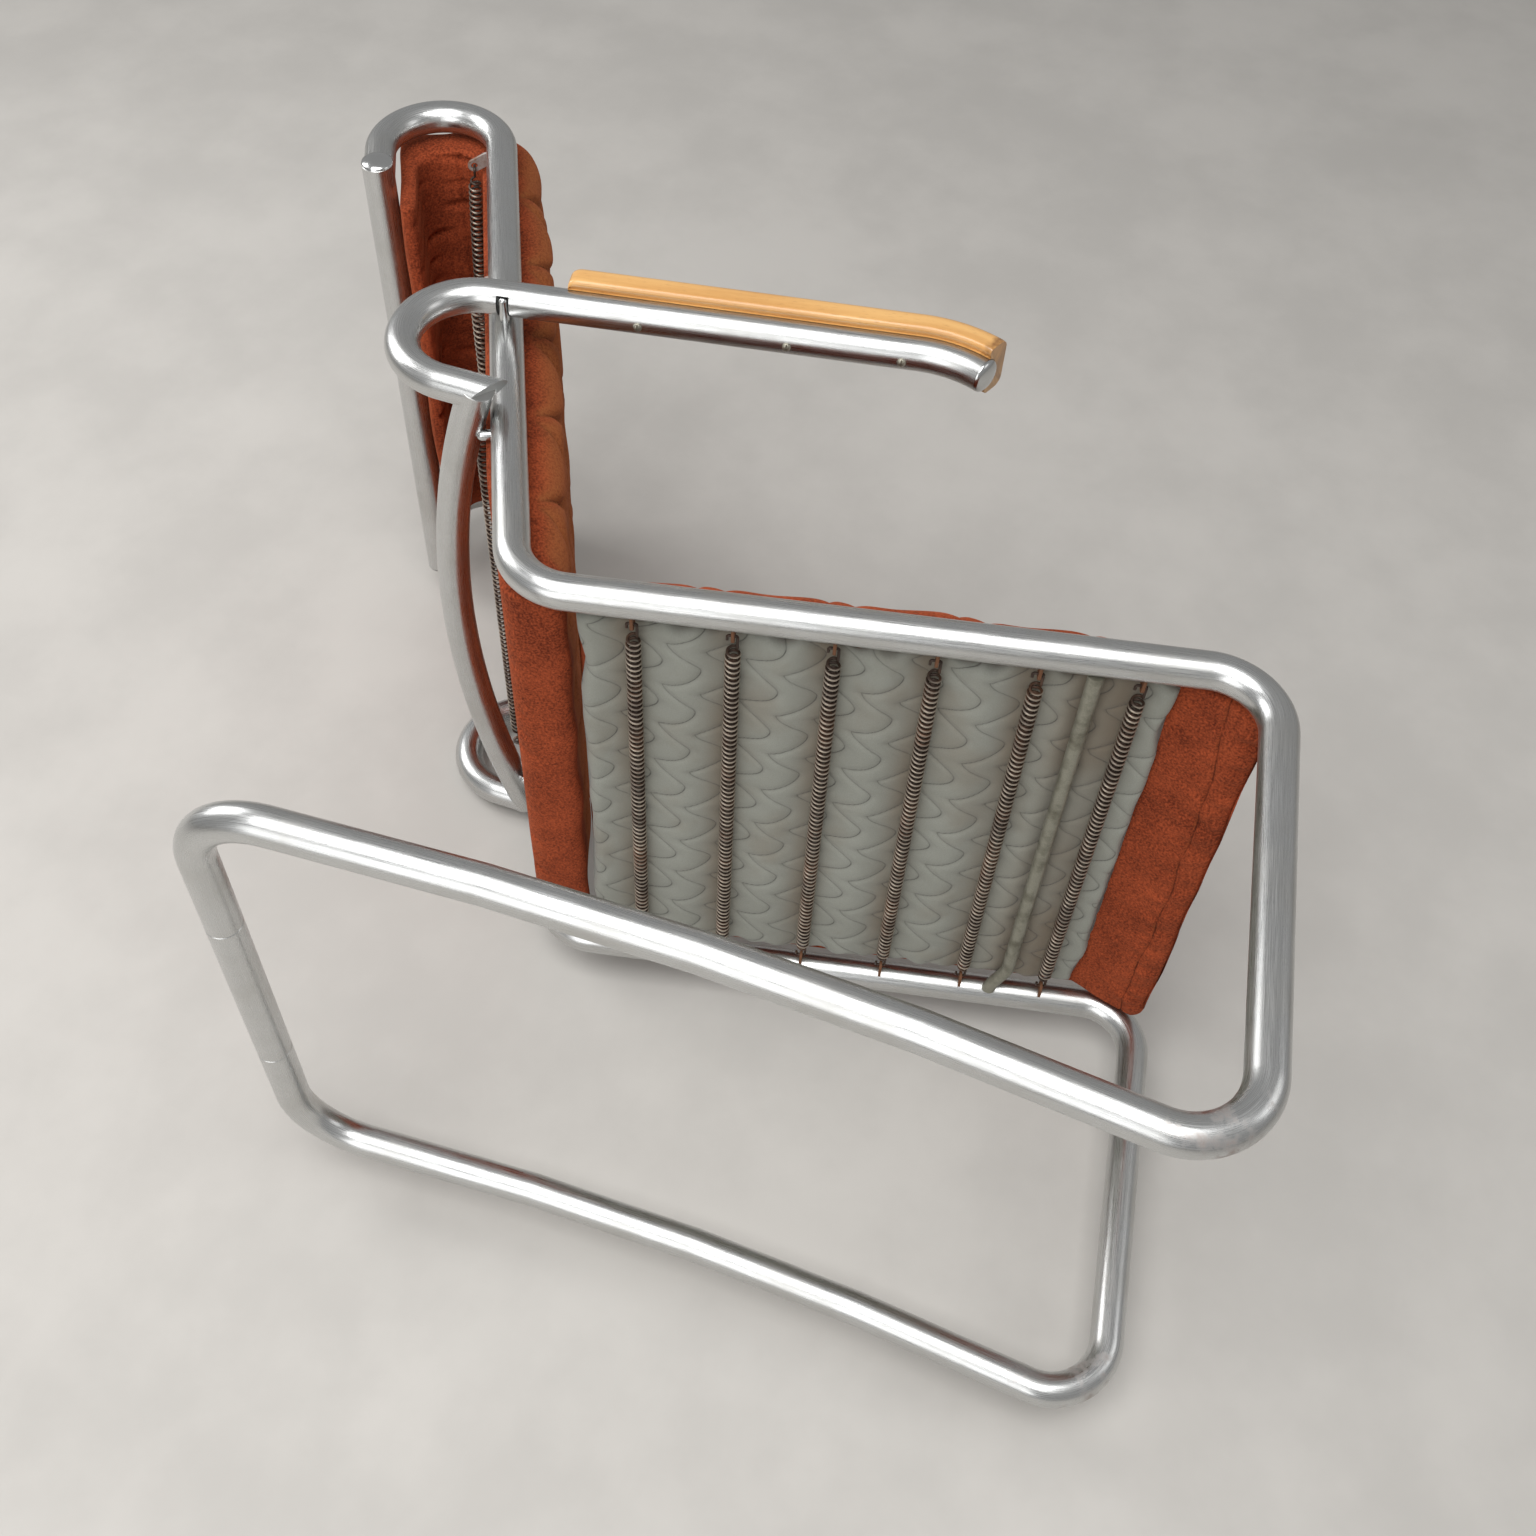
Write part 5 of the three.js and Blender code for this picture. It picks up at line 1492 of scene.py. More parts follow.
    def pad_outline(self) -> Array:
        """Outline of the pad across the arm: up one side, over the top and down the other, edges rounded.

        Returns:
            Points as (points, 2) of (across, level).
        """
        half, top = self.pad_width / 2, self.pad_top
        corners = [(half, self.pad_underside, self.pad_lower_edge, -math.pi / 2),
                   (half, top, self.pad_edge, 0.0),
                   (-half, top, self.pad_edge, math.pi / 2),
                   (-half, self.pad_underside, self.pad_lower_edge, math.pi)]
        pieces = [np.array([[self.groove_half() + self.pad_rim, self.pad_underside]])]
        for x, y, radius, turn in corners:
            angle = turn + np.linspace(0.0, math.pi / 2, 9)
            centre = np.array([x - math.copysign(radius, x), y + (radius if y < top else -radius)])
            pieces.append(centre + radius * np.stack([np.cos(angle), np.sin(angle)], axis=1))
        pieces.append(-pieces[0] * np.array([1.0, -1.0]))
        return np.concatenate(pieces)

    @property
    def groove(self) -> float:
        """Radius of the groove under the pad: the tube's with its fitting gap."""
        return self.layout.tube_radius + self.layout.fit_gap

    def groove_half(self) -> float:
        """Half width of the groove where it opens at the pad's underside."""
        return math.sqrt(self.groove ** 2 - self.pad_underside ** 2)

    def pad_section(self, size: Array) -> Array:
        """Closed section of the pad at each size: the outline shrunk to the size, and the groove back.

        The outline shrinks towards the middle of the underside, but keeps a thin wall beside and
        over the groove.

        Args:
            size: Section size at each station, as (stations, 1).

        Returns:
            Points as (stations, points, 2) of (across, level).
        """
        outer = self.pad_outline()
        spread = math.acos(self.pad_underside / self.groove)
        angle = np.linspace(-spread, spread, len(outer))
        arc = self.groove * np.stack([np.sin(angle), np.cos(angle)], axis=1)
        floor = np.array([0.0, self.pad_underside])
        shrunk = floor + (outer - floor) * size[..., None]
        least = np.minimum(np.abs(outer[:, 0]), self.groove_half() + self.pad_wall)
        across = np.sign(outer[:, 0]) * np.maximum(np.abs(shrunk[..., 0]), least)
        over = np.sqrt(np.maximum((self.groove + self.pad_wall) ** 2 - across ** 2, 0.0))
        level = np.maximum(shrunk[..., 1], np.where(np.abs(across) < self.groove, over, self.pad_underside))
        shaped = np.stack([across, level], axis=-1)
        return np.concatenate([shaped, np.broadcast_to(arc, shaped.shape)], axis=1)

    def pad(self, shop: Workshop, side: Side) -> None:
        """Builds one wooden pad: its section runs along the arm and down an arc of the arm's own drop.

        Its rear end is rounded: the size rises as a quarter circle from the nose's size to one.
        Faces between outline and groove close both ends.
        """
        plan = self.layout
        nose = np.linspace(0.0, 1.0, self.nose_rows)
        size = np.sqrt(1.0 - (1.0 - nose) ** 2) * (1 - self.nose_size) + self.nose_size
        run = np.linspace(self.pad_rear + self.pad_nose, self.straight, self.run_rows)[1:]
        reach = np.concatenate([self.pad_rear + self.pad_nose * (1 - np.cos(nose * math.pi / 2)), run,
                                np.full(self.drop_rows, self.straight)])
        dropped = np.linspace(0.0, self.drop, self.drop_rows + 1)[1:]
        turn = np.concatenate([np.zeros(len(reach) - len(dropped)), dropped])
        sizes = np.concatenate([size, np.ones(len(reach) - len(size))])
        sizes[-1] = self.tip_size
        section = self.pad_section(sizes[:, None])
        radius = self.drop_radius + section[..., 1]
        high = radius * np.cos(turn)[:, None] - self.drop_radius
        far = reach[:, None] + radius * np.sin(turn)[:, None]
        grid = plan.arm(side.value * plan.arm_x + section[..., 0], far, high)
        row = np.arange(len(reach))
        butt = ease(self.worn_butt, 0.0, row / self.worn_rows[0])
        tip = ease(1.0, 0.0, (len(reach) - 1 - row) / self.worn_rows[1])
        skin = Skin()
        skin.add(grid, mark=np.maximum(tip, butt)[:, None])
        half = grid.shape[1] // 2
        for end in (grid[0], grid[-1]):
            skin.add(np.stack([end[:half], end[half:][::-1]]), around=False, mark=self.worn_ends)
        piece = skin.build(f"shaped_pad_{side.word}", weld=1e-6)
        shop.dress(piece, BEECH, f"arm_pad_{side.word}")

    def build(self, shop: Workshop) -> None:
        """Builds both arms and the brace."""
        for side in Side:
            self.tube(shop, side)
            build_cap(shop, self.layout, self.path(side).points[-1], self.dip(), ACROSS,
                      f"domed_cap_{side.word}", f"arm_end_cap_{side.word}")
            self.fasteners(shop, side)
            self.pad(shop, side)
        self.brace(shop)


# Cushions


def edge_fullness(distance: Array, radius: Values) -> Array:
    """Fullness of a stuffed edge: a quarter circle, sqrt(1 - (1 - d / r)^2), and 1 beyond its radius."""
    share = np.clip(distance / radius, 0.0, 1.0)
    return np.sqrt(1.0 - (1.0 - share) ** 2)


def there_and_back(over: Array, under: Array) -> Array:
    """Columns of the upper face, and then the inner columns of the under face in reverse."""
    return np.concatenate([over, under[:, ::-1][:, 1:-1]], axis=1)


@dataclass(frozen=True)
class Quilting:
    """Sewn waves: pitch along a line, spacing between lines, sway of a line and height of the stuffing."""

    pitch: float
    spacing: float
    sway: float
    puff: float
    seam: float = 0.0022

    def share(self, u: Array, v: Array) -> Array:
        """Distance from the nearest sewn line over half the spacing.

        It is 2 * |fract((v - sway * wave(u / pitch)) / spacing) - 0.5|.
        """
        moved = (v - self.sway * wave(u / self.pitch)) / self.spacing
        return np.abs((moved % 1.0) - 0.5) * 2

    def height(self, u: Array, v: Array) -> Array:
        """Height of the stuffing: puff * (1 - (1 - share)^3)."""
        return self.puff * (1.0 - (1.0 - self.share(u, v)) ** 3)

    def line(self, u: Array, v: Array) -> Array:
        """One on a sewn line, falling to zero over the seam's width."""
        return np.clip(1.0 - self.share(u, v) * self.spacing / 2 / self.seam, 0.0, 1.0)


@dataclass(frozen=True)
class Unevenness:
    """Smooth uneven height: how high, the wavelength along each axis, and the seed of its waves."""

    height: float
    lengths: tuple[float, ...]
    seed: int
    waves: int = 7

    def at(self, *axes: Array) -> Array:
        """Height times the mean of sines of mixed directions over the axes.

        Each sine turns with the sum of coordinate / wavelength, each times 0.5 to 1.5 or its negative.
        """
        draw = np.random.default_rng(self.seed)
        total = 0.0
        for _ in range(self.waves):
            turn = sum(axis / length * draw.uniform(0.5, 1.5) * draw.choice([-1, 1])
                       for axis, length in zip(axes, self.lengths))
            total = total + np.sin(2 * math.pi * (turn + draw.uniform()))
        return self.height * total / math.sqrt(self.waves)


@dataclass
class Cushion:
    """What both cushions share: a stuffed cover with two faces that meet in drawn-in edges."""

    layout: Layout
    half_width: float = 0.223
    columns: int = 181
    crowding: float = 0.45

    def across(self) -> Array:
        """Shares from -1 to 1 across the cushion, closer together at both sides."""
        even = np.linspace(-1.0, 1.0, self.columns)
        return (self.crowding * np.sin(even * math.pi / 2) + (1 - self.crowding) * even)[None]

    @staticmethod
    def raised(middle: Array, half: Array, edges: Arrays, lift: Array) -> Array:
        """A face at middle + half * min(edges) * (1 + max(edges)) / 2, and its lift along the half."""
        full = np.minimum(*edges) * (0.5 + 0.5 * np.maximum(*edges))
        return middle + half * full[..., None] + unit(half) * lift[..., None]

    def cover(self, name: str, place: Callable[..., Array], x: Array, faces: Arrays,
              marks: Arrays) -> Piece:
        """Makes one closed skin of the two faces.

        Args:
            name: Name of the piece.
            place: Puts X and a face's two coordinates into the frame.
            x: Place across the cushion.
            faces: The upper and the under face, as (rows, columns, 2).
            marks: The wear value on each.

        Returns:
            The cushion's piece.
        """
        grid = there_and_back(*faces)
        both_x = np.broadcast_to(there_and_back(x, x), grid.shape[:2])
        placed = place(both_x, grid[..., 0], grid[..., 1])
        return Skin.of(placed, there_and_back(*marks)).build(name, sharp_degrees=180, weld=2e-5)


@dataclass
class SeatCushion(Cushion):
    """Loose seat cushion: flat on its lining, crowned and quilted on top, rolled down in front.

    Its share runs from 0 at the rear to 1 where the roll starts and 2 at the roll's lip.
    """

    start: float = 0.044
    level: float = 0.008
    top: float = 0.048
    crown: float = 0.006
    lining_end: float = 0.488
    roll_tip: Pair = (0.550, -0.027)
    roll_nose: Pair = (0.560, -0.005)
    flat_rows: int = 190
    roll_rows: int = 100
    edge: float = 0.017
    side_edge: float = 0.0255
    tight_edge: float = 0.006
    corner: float = 0.020
    lip: float = 1.72
    ripple_start: float = 1.4
    ripple_fade: float = 0.5
    seam_height: float = 0.0016
    seam_width: float = 0.030
    seam_lean: float = -0.17
    seam_lean_width: float = 0.16
    quilting: Quilting = Quilting(pitch=0.098, spacing=0.045, sway=0.020, puff=0.006, seam=0.003)
    wobble: Unevenness = Unevenness(0.0016, (0.09, 0.12), seed=5)
    ripple: Unevenness = Unevenness(0.0014, (0.022, 0.06), seed=8)
    slack: Unevenness = Unevenness(0.0012, (0.09,), seed=15, waves=5)

    def faces(self, share: Array) -> Arrays:
        """Under and upper face along the cushion as (station, level).

        The roll's upper face is a quarter ellipse, and the flat part's rear leans with the back.

        Args:
            share: Place along the cushion.

        Returns:
            The two faces as (..., 2).
        """
        flat, roll = np.clip(share, 0.0, 1.0), np.clip(share - 1.0, 0.0, 1.0)
        plan = self.layout
        lean = (plan.back_up @ plan.forward) / (plan.back_up @ plan.seat_up)
        station = self.start + (self.lining_end - self.start) * flat
        shift = lean * (self.top - self.level) * (1 - flat)
        crown = self.top + self.crown * np.sin(math.pi * flat)
        angle = roll * math.pi / 2
        reach = (self.roll_nose[0] - self.lining_end) * np.sin(angle)
        fall = (self.top - self.roll_nose[1]) * (1 - np.cos(angle))
        under = np.stack([station + (self.roll_tip[0] - self.lining_end) * roll,
                          self.level + (self.roll_tip[1] - self.level) * roll], axis=-1)
        upper = np.stack([station + shift + reach, crown - fall], axis=-1)
        return under, upper

    def build(self, shop: Workshop) -> None:
        """Builds the cover: quilted above, and below flat, with a sewn and rippled roll."""
        flat, roll = np.linspace(0.0, 1.0, self.flat_rows), np.linspace(1.0, 2.0, self.roll_rows)
        share = np.concatenate([flat, roll[1:]])[:, None]
        lip = np.clip((share - self.lip) / (2.0 - self.lip), 0.0, 1.0)
        x = self.across() * (self.half_width - self.corner * (1 - np.sqrt(1 - lip ** 2)))
        under, upper = self.faces(share)
        middle, half = (under + upper) / 2, (upper - under) / 2
        length = run_length(middle[:, 0])[:, None]
        ends = edge_fullness(np.minimum(length, length[-1] - length), self.edge)
        rim = self.half_width - np.abs(x)
        sides = edge_fullness(rim, self.side_edge)
        inside = sides * ends
        stuffing = self.quilting.height(length, x) + self.wobble.at(x, length)
        top = self.raised(middle, half, (sides, ends), stuffing * inside - self.quilting.puff)
        seam = self.roll_seam(share, x)
        near_lip = ease(0.3, 1.0, (share - self.ripple_start) / self.ripple_fade) * (share > 1.0)
        lift = self.ripple.at(x, length) * inside * near_lip - self.seam_height * seam
        base = self.raised(middle, -half, (edge_fullness(rim, self.tight_edge), ends), lift)
        base = np.where((share > 0.999)[..., None], base, np.maximum(base, [-1.0, self.level]))
        slack = self.slack.at(x) * np.clip(share - 1.0, 0.0, 1.0) ** 2
        for face in (top, base):
            face[..., 0] += slack
        marks = (self.quilting.line(length, x) * inside, seam * 1.9 - 1.0)
        piece = self.cover("quilted_seat_cushion", self.layout.seat, x, (top, base), marks)
        shop.dress(piece, PLUSH, "seat_cushion")

    def roll_seam(self, share: Array, x: Array) -> Array:
        """One on the sewn line under the roll, which wanders and leans to the lining at the right side.

        The line's share is lip + sines of X + lean; its strength wavers between 0.86 and 1.
        """
        lean = ease(self.seam_lean, 0.0, (x + self.half_width) / self.seam_lean_width)
        wander = 0.020 * np.sin(x * 31.0) + 0.012 * np.sin(x * 83.0) + lean
        strength = 0.93 + 0.07 * np.sin(x * 140.0) * np.sin(x * 57.0)
        return strength * np.clip(1.15 - np.abs(share - self.lip - wander) / self.seam_width, 0.0, 1.0)


@dataclass
class SeatLining:
    """Quilted lining under the seat cushion, which bulges a little between the springs."""

    layout: Layout
    rows: SpringRows
    cushion: SeatCushion
    half_width: float = 0.2140
    thickness: float = 0.0012
    overlap: float = 0.0004
    inset: float = 0.001
    edge: float = 0.012
    bulge: float = 0.0080
    strut_press: float = 0.8
    strut_width: float = 0.014
    quilting: Quilting = Quilting(pitch=0.0492, spacing=0.030, sway=0.0139, puff=0.0018)
    wave_start: float = -0.1479
    wave_drift: float = 0.20
    line_start: float = 0.096
    line_lean: float = 0.078
    scallop: float = 0.0022
    scallop_pitch: float = 0.026
    hem: float = 0.0006
    side_wander: Unevenness = Unevenness(0.0018, (0.07,), seed=3)
    end_wander: Unevenness = Unevenness(0.002, (0.11,), seed=4)
    # Amount and width of the painted shade behind the springs and under the strut, and how far it lies behind
    # each spring.
    spring_painted_shade: Pair = (0.75, 0.013)
    strut_painted_shade: Pair = (0.85, 0.020)
    painted_shade_shift: float = 0.006
    step: float = 0.0019

    def sewn(self, x: Array, station: Array) -> Arrays:
        """Coordinates of the sewn waves: v = station + lean * x - start, u = x - wave start - drift * v."""
        across = station + self.line_lean * x - self.line_start
        return x - self.wave_start - self.wave_drift * across, across

    def painted_shade(self, station: Array) -> Array:
        """Painted shade behind each spring and under the strut: a sum of amount * exp(-(distance / width)^2).
        """
        gap = self.rows.seat_pitch
        behind = (station - self.rows.seat_start + self.painted_shade_shift + gap / 2) % gap - gap / 2
        places = ((behind, self.spring_painted_shade), (station - self.layout.strut_station, self.strut_painted_shade))
        return np.clip(sum(much * np.exp(-((away / width) ** 2)) for away, (much, width) in places), 0.0, 1.0)

    def drop(self, x: Array, station: Array, rise: Array) -> Array:
        """How far the lining hangs: the quilting's height and a bulge between the springs.

        The bulge is sin^2(pi * springs passed), and the strut presses most of it flat around itself.

        Args:
            x: Place across the seat.
            station: Place along the seat.
            rise: Share of both that the hem allows.

        Returns:
            The drop at each point.
        """
        passed = (station - self.rows.seat_start) / self.rows.seat_pitch
        away = (station - self.layout.strut_station) / self.strut_width
        between = np.sin(math.pi * passed) ** 2 * (1 - self.strut_press * np.exp(-(away ** 2)))
        return (self.quilting.height(*self.sewn(x, station)) + self.bulge * between) * rise

    def build(self, shop: Workshop) -> None:
        """Builds the lining, whose sides are scalloped and whose ends wander a little."""
        plan, cushion = self.layout, self.cushion
        start, stop = cushion.start + self.inset, cushion.lining_end
        stations = np.linspace(start, stop, round((stop - start) / self.step))[:, None]
        share = np.linspace(-1.0, 1.0, round(2 * self.half_width / self.step))[None]
        scallop = self.scallop * np.sin(2 * math.pi * stations / self.scallop_pitch)
        x = share * (self.half_width + scallop + self.side_wander.at(stations))
        hem = self.hem * np.sin(2 * math.pi * x / self.quilting.pitch) + self.end_wander.at(x)
        centred = (stations - (start + stop) / 2) / ((stop - start) / 2)
        station = stations + hem * ease(0.0, 1.0, np.abs(centred) * 4 - 3) * np.sign(centred)
        rim = np.minimum(self.half_width * (1 - np.abs(share)), np.minimum(stations - start, stop - stations))
        drop = self.drop(x, station, edge_fullness(rim, self.edge))
        outer = plan.seat(x, station, cushion.level - self.thickness - drop)
        inner = plan.seat(x, station, np.full_like(drop, cushion.level - self.overlap))
        surface = np.stack(self.sewn(x, station), axis=-1)
        # Painted shade, handed to the cloth as its wear attribute.
        painted_shade = self.painted_shade(station)
        skin = Skin()
        skin.add(np.concatenate([outer, inner[:, ::-1]], axis=1), capped=True,
                 uv=np.concatenate([surface, surface[:, ::-1], surface[:, :1]], axis=1),
                 mark=np.concatenate([painted_shade, painted_shade[:, ::-1]], axis=1))
        piece = skin.build("stitched_lining", sharp_degrees=60)
        shop.dress(piece, LINING, "seat_lining")


@dataclass
class BackCushion(Cushion):
    """Back cushion: quilted in front, folded over between the hooks, with a flap hanging inside them."""

    front: float = 0.037
    thinning: float = 0.008
    thin_start: float = 0.33
    thin_stop: float = 0.56
    rear: float = 0.0193
    foot_rear: float = 0.010
    foot_level: float = 0.005
    foot_length: float = 0.150
    over_start: float = 0.12
    top_outer: float = 0.0010
    top_inner: float = 0.032
    flap_outer: float = -0.0148
    flap_inner: float = 0.030
    flap_length: float = 0.062
    boxiness: float = 6.0
    rows: int = 330
    end_edge: float = 0.014
    end_blunt: float = 0.002
    side_edge: float = 0.024
    tight_edge: float = 0.0035
    tightening: float = 0.35
    quilt_start: float = 0.03
    quilt_stop: float = 0.05
    quilt_fade: float = 0.05
    sink: float = 0.4
    crease_depth: float = 0.0022
    fold_depth: float = 0.003
    fold_width: float = 0.005
    fold_place: float = 0.33
    quilting: Quilting = Quilting(pitch=0.098, spacing=0.045, sway=0.020, puff=0.008, seam=0.0045)
    wobble: Unevenness = Unevenness(0.0015, (0.10, 0.14), seed=11)
    crease: Unevenness = Unevenness(1.0, (0.032, 0.30), seed=21, waves=5)

    @property
    def wrap(self) -> float:
        """Length of the frame's centre line round the hook."""
        return math.pi * self.layout.hook_radius

    def turned(self, path: Array) -> Array:
        """Share of the hook's turn at a place on the path."""
        return (path - self.layout.upright_length) / self.wrap

    def outer_offset(self, path: Array) -> Array:
        """Distance of the outer face from the frame's centre line, along the path round the hook.

        Past the top it follows a rounded box, with n the boxiness:
        radius = ((|cos a| / half width)^n + (sin a / height)^n)^(-1/n).
        """
        thinned = (path - self.thin_start) / (self.thin_stop - self.thin_start)
        front = self.front - ease(0.0, self.thinning, thinned)
        over = ease(front, self.top_outer, (self.turned(path) - self.over_start) / (0.5 - self.over_start))
        radius = self.layout.hook_radius
        turn = np.clip(self.turned(path), 0.5, 1.0) * math.pi
        flat = (np.abs(np.cos(turn)) / (radius + self.flap_outer)) ** self.boxiness
        tall = (np.sin(turn) / (radius + self.top_outer)) ** self.boxiness
        boxed = (flat + tall) ** (-1 / self.boxiness) - radius
        return np.where(self.turned(path) > 0.5, boxed, over)

    def inner_offset(self, path: Array) -> Array:
        """Distance of the inner face from the same line, on its other side."""
        foot = ease(self.foot_rear, self.rear, path / self.foot_length)
        top = ease(0.0, 1.0, 2 * self.turned(path)) * (self.top_inner - foot) + foot
        return ease(0.0, 1.0, 2 * self.turned(path) - 1) * (self.flap_inner - top) + top

    def wrapped(self, path: Array, offset: Array) -> Array:
        """(height, setback) at an offset outwards from the path up the upright and round the hook."""
        plan = self.layout
        turn = np.clip(self.turned(path), 0.0, 1.0) * math.pi
        past = np.maximum(path - plan.upright_length - self.wrap, 0.0)
        radius = plan.hook_radius + offset
        height = np.minimum(path, plan.upright_length) + radius * np.sin(turn) - past
        return np.stack(np.broadcast_arrays(height, plan.hook_radius - radius * np.cos(turn)), axis=-1)

    def foot_path(self, offset: float) -> float:
        """Path position at which a face with that offset meets the level of the foot."""
        plan = self.layout
        rise = plan.back_rear @ plan.seat_up
        return float((self.foot_level + offset * rise) / (plan.back_up @ plan.seat_up))

    def build(self, shop: Workshop) -> None:
        """Builds the cover: quilted on its outer face and creased on its inner one."""
        plan = self.layout
        front, rear = self.foot_path(self.front), self.foot_path(-self.foot_rear)
        stop = plan.upright_length + self.wrap + self.flap_length
        at = np.linspace(front, stop, self.rows)[:, None]
        behind = at + (rear - front) * np.clip(1 - (at - front) / self.foot_length, 0.0, 1.0)
        x = self.across() * self.half_width
        inner = self.wrapped(behind, -self.inner_offset(behind))
        outer = self.wrapped(at, self.outer_offset(at))
        middle, half = (inner + outer) / 2, (outer - inner) / 2
        ends = edge_fullness(np.minimum(at - front, stop - at) + self.end_blunt, self.end_edge)
        rim = self.half_width - np.abs(x)
        soft = ease(self.side_edge, self.tight_edge, self.turned(at) / self.tightening)
        sides = edge_fullness(rim, soft)
        inside = sides * ends
        faced = ease(1.0, 0.0, (at - plan.upright_length - self.quilt_stop) / self.quilt_fade) * inside
        faced = faced * ease(0.0, 1.0, (at - front - self.quilt_start) / self.quilt_fade)
        puff = (self.quilting.height(at, x) - self.quilting.puff * self.sink) * faced
        top = self.raised(middle, half, (sides, ends), puff + self.wobble.at(x, at) * inside)
        crease = np.maximum(self.creases(x, at) * inside, 0.0)
        base = self.raised(middle, -half, (edge_fullness(rim, self.tight_edge), ends), -crease)
        line = self.quilting.line(at, x) * faced + np.minimum(faced * 3.0, 1.0) - 1.0
        marks = (line, np.full_like(line, -1.0))
        piece = self.cover("quilted_back_cushion", plan.back, x, (top, base), marks)
        shop.dress(piece, PLUSH, "back_cushion")

    def creases(self, x: Array, at: Array) -> Array:
        """Creases of the inner face: depth * (uneven wave held in 0 to 1.5)^2, and one long fold.

        The fold is its depth * exp(-((path - its place) / width)^2).
        """
        sharp = np.clip(self.crease.at(x, at), 0.0, 1.5) ** 2
        away = at - self.layout.upright_length - self.fold_place * self.wrap
        return self.crease_depth * sharp + self.fold_depth * np.exp(-((away / self.fold_width) ** 2))


# Camera, stage and light


@dataclass(frozen=True)
class Lamp:
    """Soft rectangular lamp that faces the middle of the chair."""

    name: str
    at: Triple
    size: Pair
    watts: float
    aim: Triple = (0.0, 0.0, 0.35)

    def build(self) -> None:
        """Adds the lamp, with its -Z turned to its aim."""
        data = bpy.data.lights.new(self.name, "AREA")
        data.shape = "RECTANGLE"
        data.size, data.size_y = self.size
        data.energy = self.watts
        turn = (Vector(self.aim) - Vector(self.at)).to_track_quat("-Z", "Y").to_matrix().to_4x4()
        add_object(self.name, data).matrix_world = Matrix.Translation(Vector(self.at)) @ turn


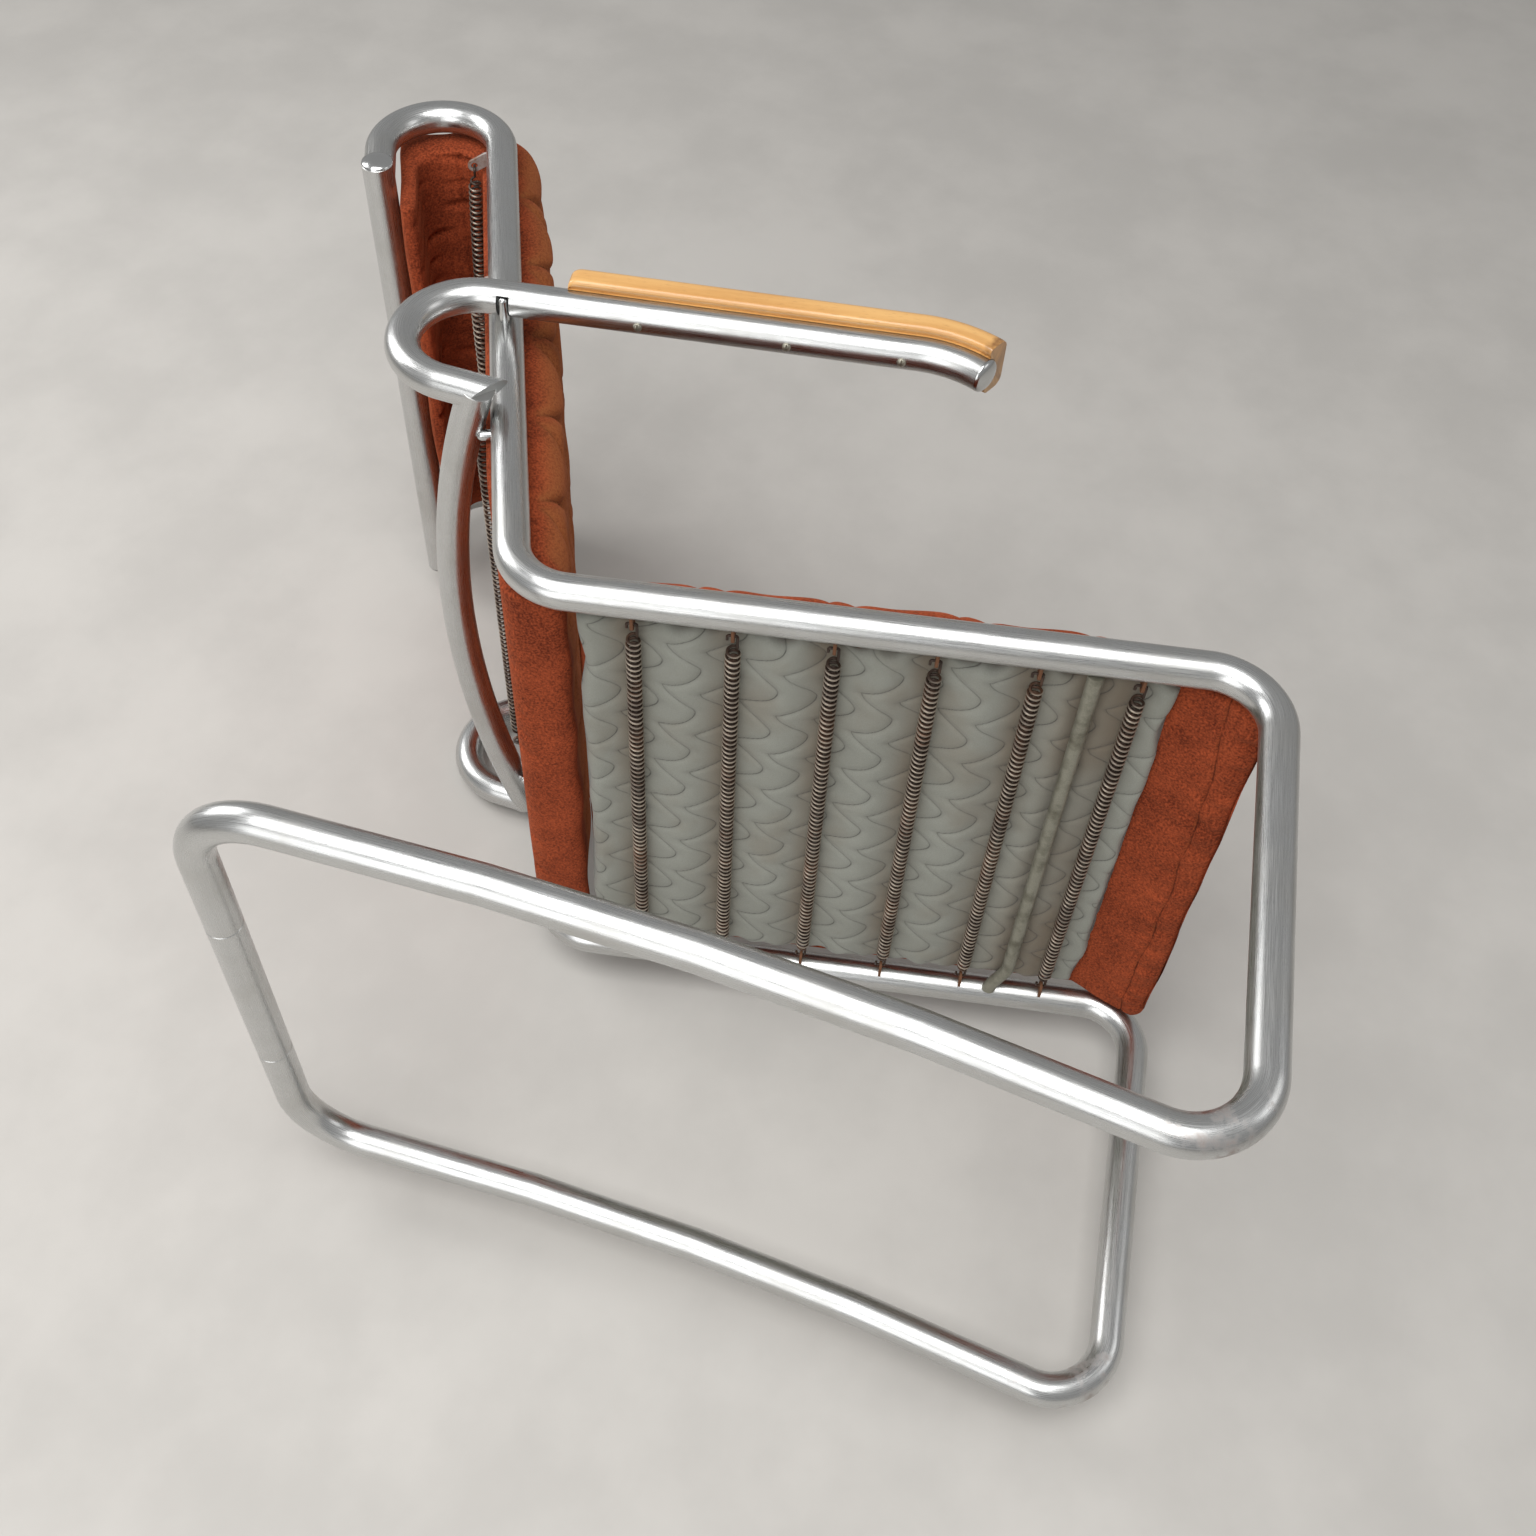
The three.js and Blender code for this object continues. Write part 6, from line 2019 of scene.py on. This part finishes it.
@dataclass(frozen=True)
class Studio:
    """Camera at the photograph's angle, plain pale floor and soft lamps."""

    focal_pixels: float = 1700.0
    image_pixels: float = 1536.0
    sensor: float = 36.0
    eye: Triple = (-1.1496, -0.2959, -0.4784)
    ahead: Triple = (0.79863, 0.16783, 0.57794)
    down: Triple = (0.60041, -0.28789, -0.74607)
    floor_x: float = 0.2912
    floor_half: float = 6.0
    floor_tone: Colour = (0.50, 0.48, 0.45, 1.0)
    sky_tone: Colour = (0.80, 0.80, 0.80, 1.0)
    sky_light: float = 0.42
    sky_seen: float = 0.55
    lamps: tuple[Lamp, ...] = (
        Lamp("overhead", (-2.6, 0.1, -0.6), (2.4, 2.0), 72.0),
        Lamp("low_side", (-1.0, 0.4, -2.4), (2.0, 1.8), 22.0),
        Lamp("back_side", (-1.2, 2.0, 0.6), (1.2, 1.0), 20.0),
        Lamp("front_side", (-1.6, -2.4, 0.8), (1.2, 1.2), 5.0),
    )

    def camera(self) -> None:
        """Sets the camera: its -Z looks ahead and its Y points against down."""
        ahead, up = unit(np.array(self.ahead)), -unit(np.array(self.down))
        right = unit(np.cross(ahead, up))
        up = np.cross(right, ahead)
        data = bpy.data.cameras.new("camera")
        data.sensor_width = self.sensor
        data.lens = self.focal_pixels / self.image_pixels * self.sensor
        data.clip_start, data.clip_end = 0.01, 100.0
        camera = add_object("camera", data)
        rotation = Matrix((right, up, -ahead)).transposed().to_4x4()
        camera.matrix_world = Matrix.Translation(Vector(self.eye)) @ rotation
        bpy.context.scene.camera = camera

    def floor(self) -> None:
        """Plain pale floor under the chair's left side; seen from below it lets the view through."""
        corners = [(self.floor_x, self.floor_half * y, self.floor_half * z)
                   for y, z in ((-1, -1), (-1, 1), (1, 1), (1, -1))]
        mesh = bpy.data.meshes.new("floor")
        mesh.from_pydata(corners, [], [(0, 1, 2, 3)])
        floor = add_object("floor", mesh)
        material = bpy.data.materials.new("pale_floor")
        material.use_nodes = True
        graph = Graph(material.node_tree)
        drift = graph.spread(graph.noise(graph.place(), 5.0, 5.0, 0.6), 0.93, 1.05)
        colour = graph.mix(1.0, self.floor_tone, drift, blend="MULTIPLY")
        face = graph.add("BsdfPrincipled", {"Base Color": colour, "Roughness": 0.75})
        clear = graph.add("BsdfTransparent")
        behind = graph.add("NewGeometry").outputs["Backfacing"]
        shader = graph.add("MixShader", {0: behind, 1: face.outputs[0], 2: clear.outputs[0]})
        graph.add("OutputMaterial", {0: shader.outputs[0]})
        mesh.materials.append(material)

    def world(self) -> None:
        """Pale surroundings: brighter where the camera sees them than as light on the chair."""
        world = bpy.data.worlds.new("surroundings")
        bpy.context.scene.world = world
        world.use_nodes = True
        graph = Graph(world.node_tree)
        path = graph.add("LightPath").outputs
        seen = graph.math("MAXIMUM", path["Is Camera Ray"], path["Is Transmission Ray"])
        strength = graph.math("ADD", graph.times(seen, self.sky_seen), self.sky_light)
        back = graph.add("Background", {"Color": self.sky_tone, "Strength": strength})
        graph.add("OutputWorld", {0: back.outputs[0]})

    def build(self) -> None:
        """Sets up everything that isn't the chair."""
        self.camera()
        self.floor()
        self.world()
        for lamp in self.lamps:
            lamp.build()
        bpy.context.scene.view_settings.view_transform = "Standard"


def chair_layout() -> Layout:
    """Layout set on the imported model: its rear floor rail fixes where the side view lies."""
    low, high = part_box("rear_floor_rail")
    middle = [(a + b) / 2 for a, b in zip(low, high)]
    return Layout(origin=(middle[1] - Layout.runner_length, middle[2]))


def write_sizes() -> None:
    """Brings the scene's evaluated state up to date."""
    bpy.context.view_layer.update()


def main() -> None:
    """Builds the studio and the chair, piece by piece."""
    Studio().build()
    layout = chair_layout()
    shop = Workshop()
    rows = SpringRows(layout)
    SideFrames(layout, rows).build(shop)
    CrossTubes(layout).build(shop)
    Springs(layout, rows).build(shop)
    Arms(layout).build(shop)
    seat = SeatCushion(layout)
    seat.build(shop)
    SeatLining(layout, rows, seat).build(shop)
    BackCushion(layout).build(shop)
    write_sizes()


if __name__ == "__main__":
    main()
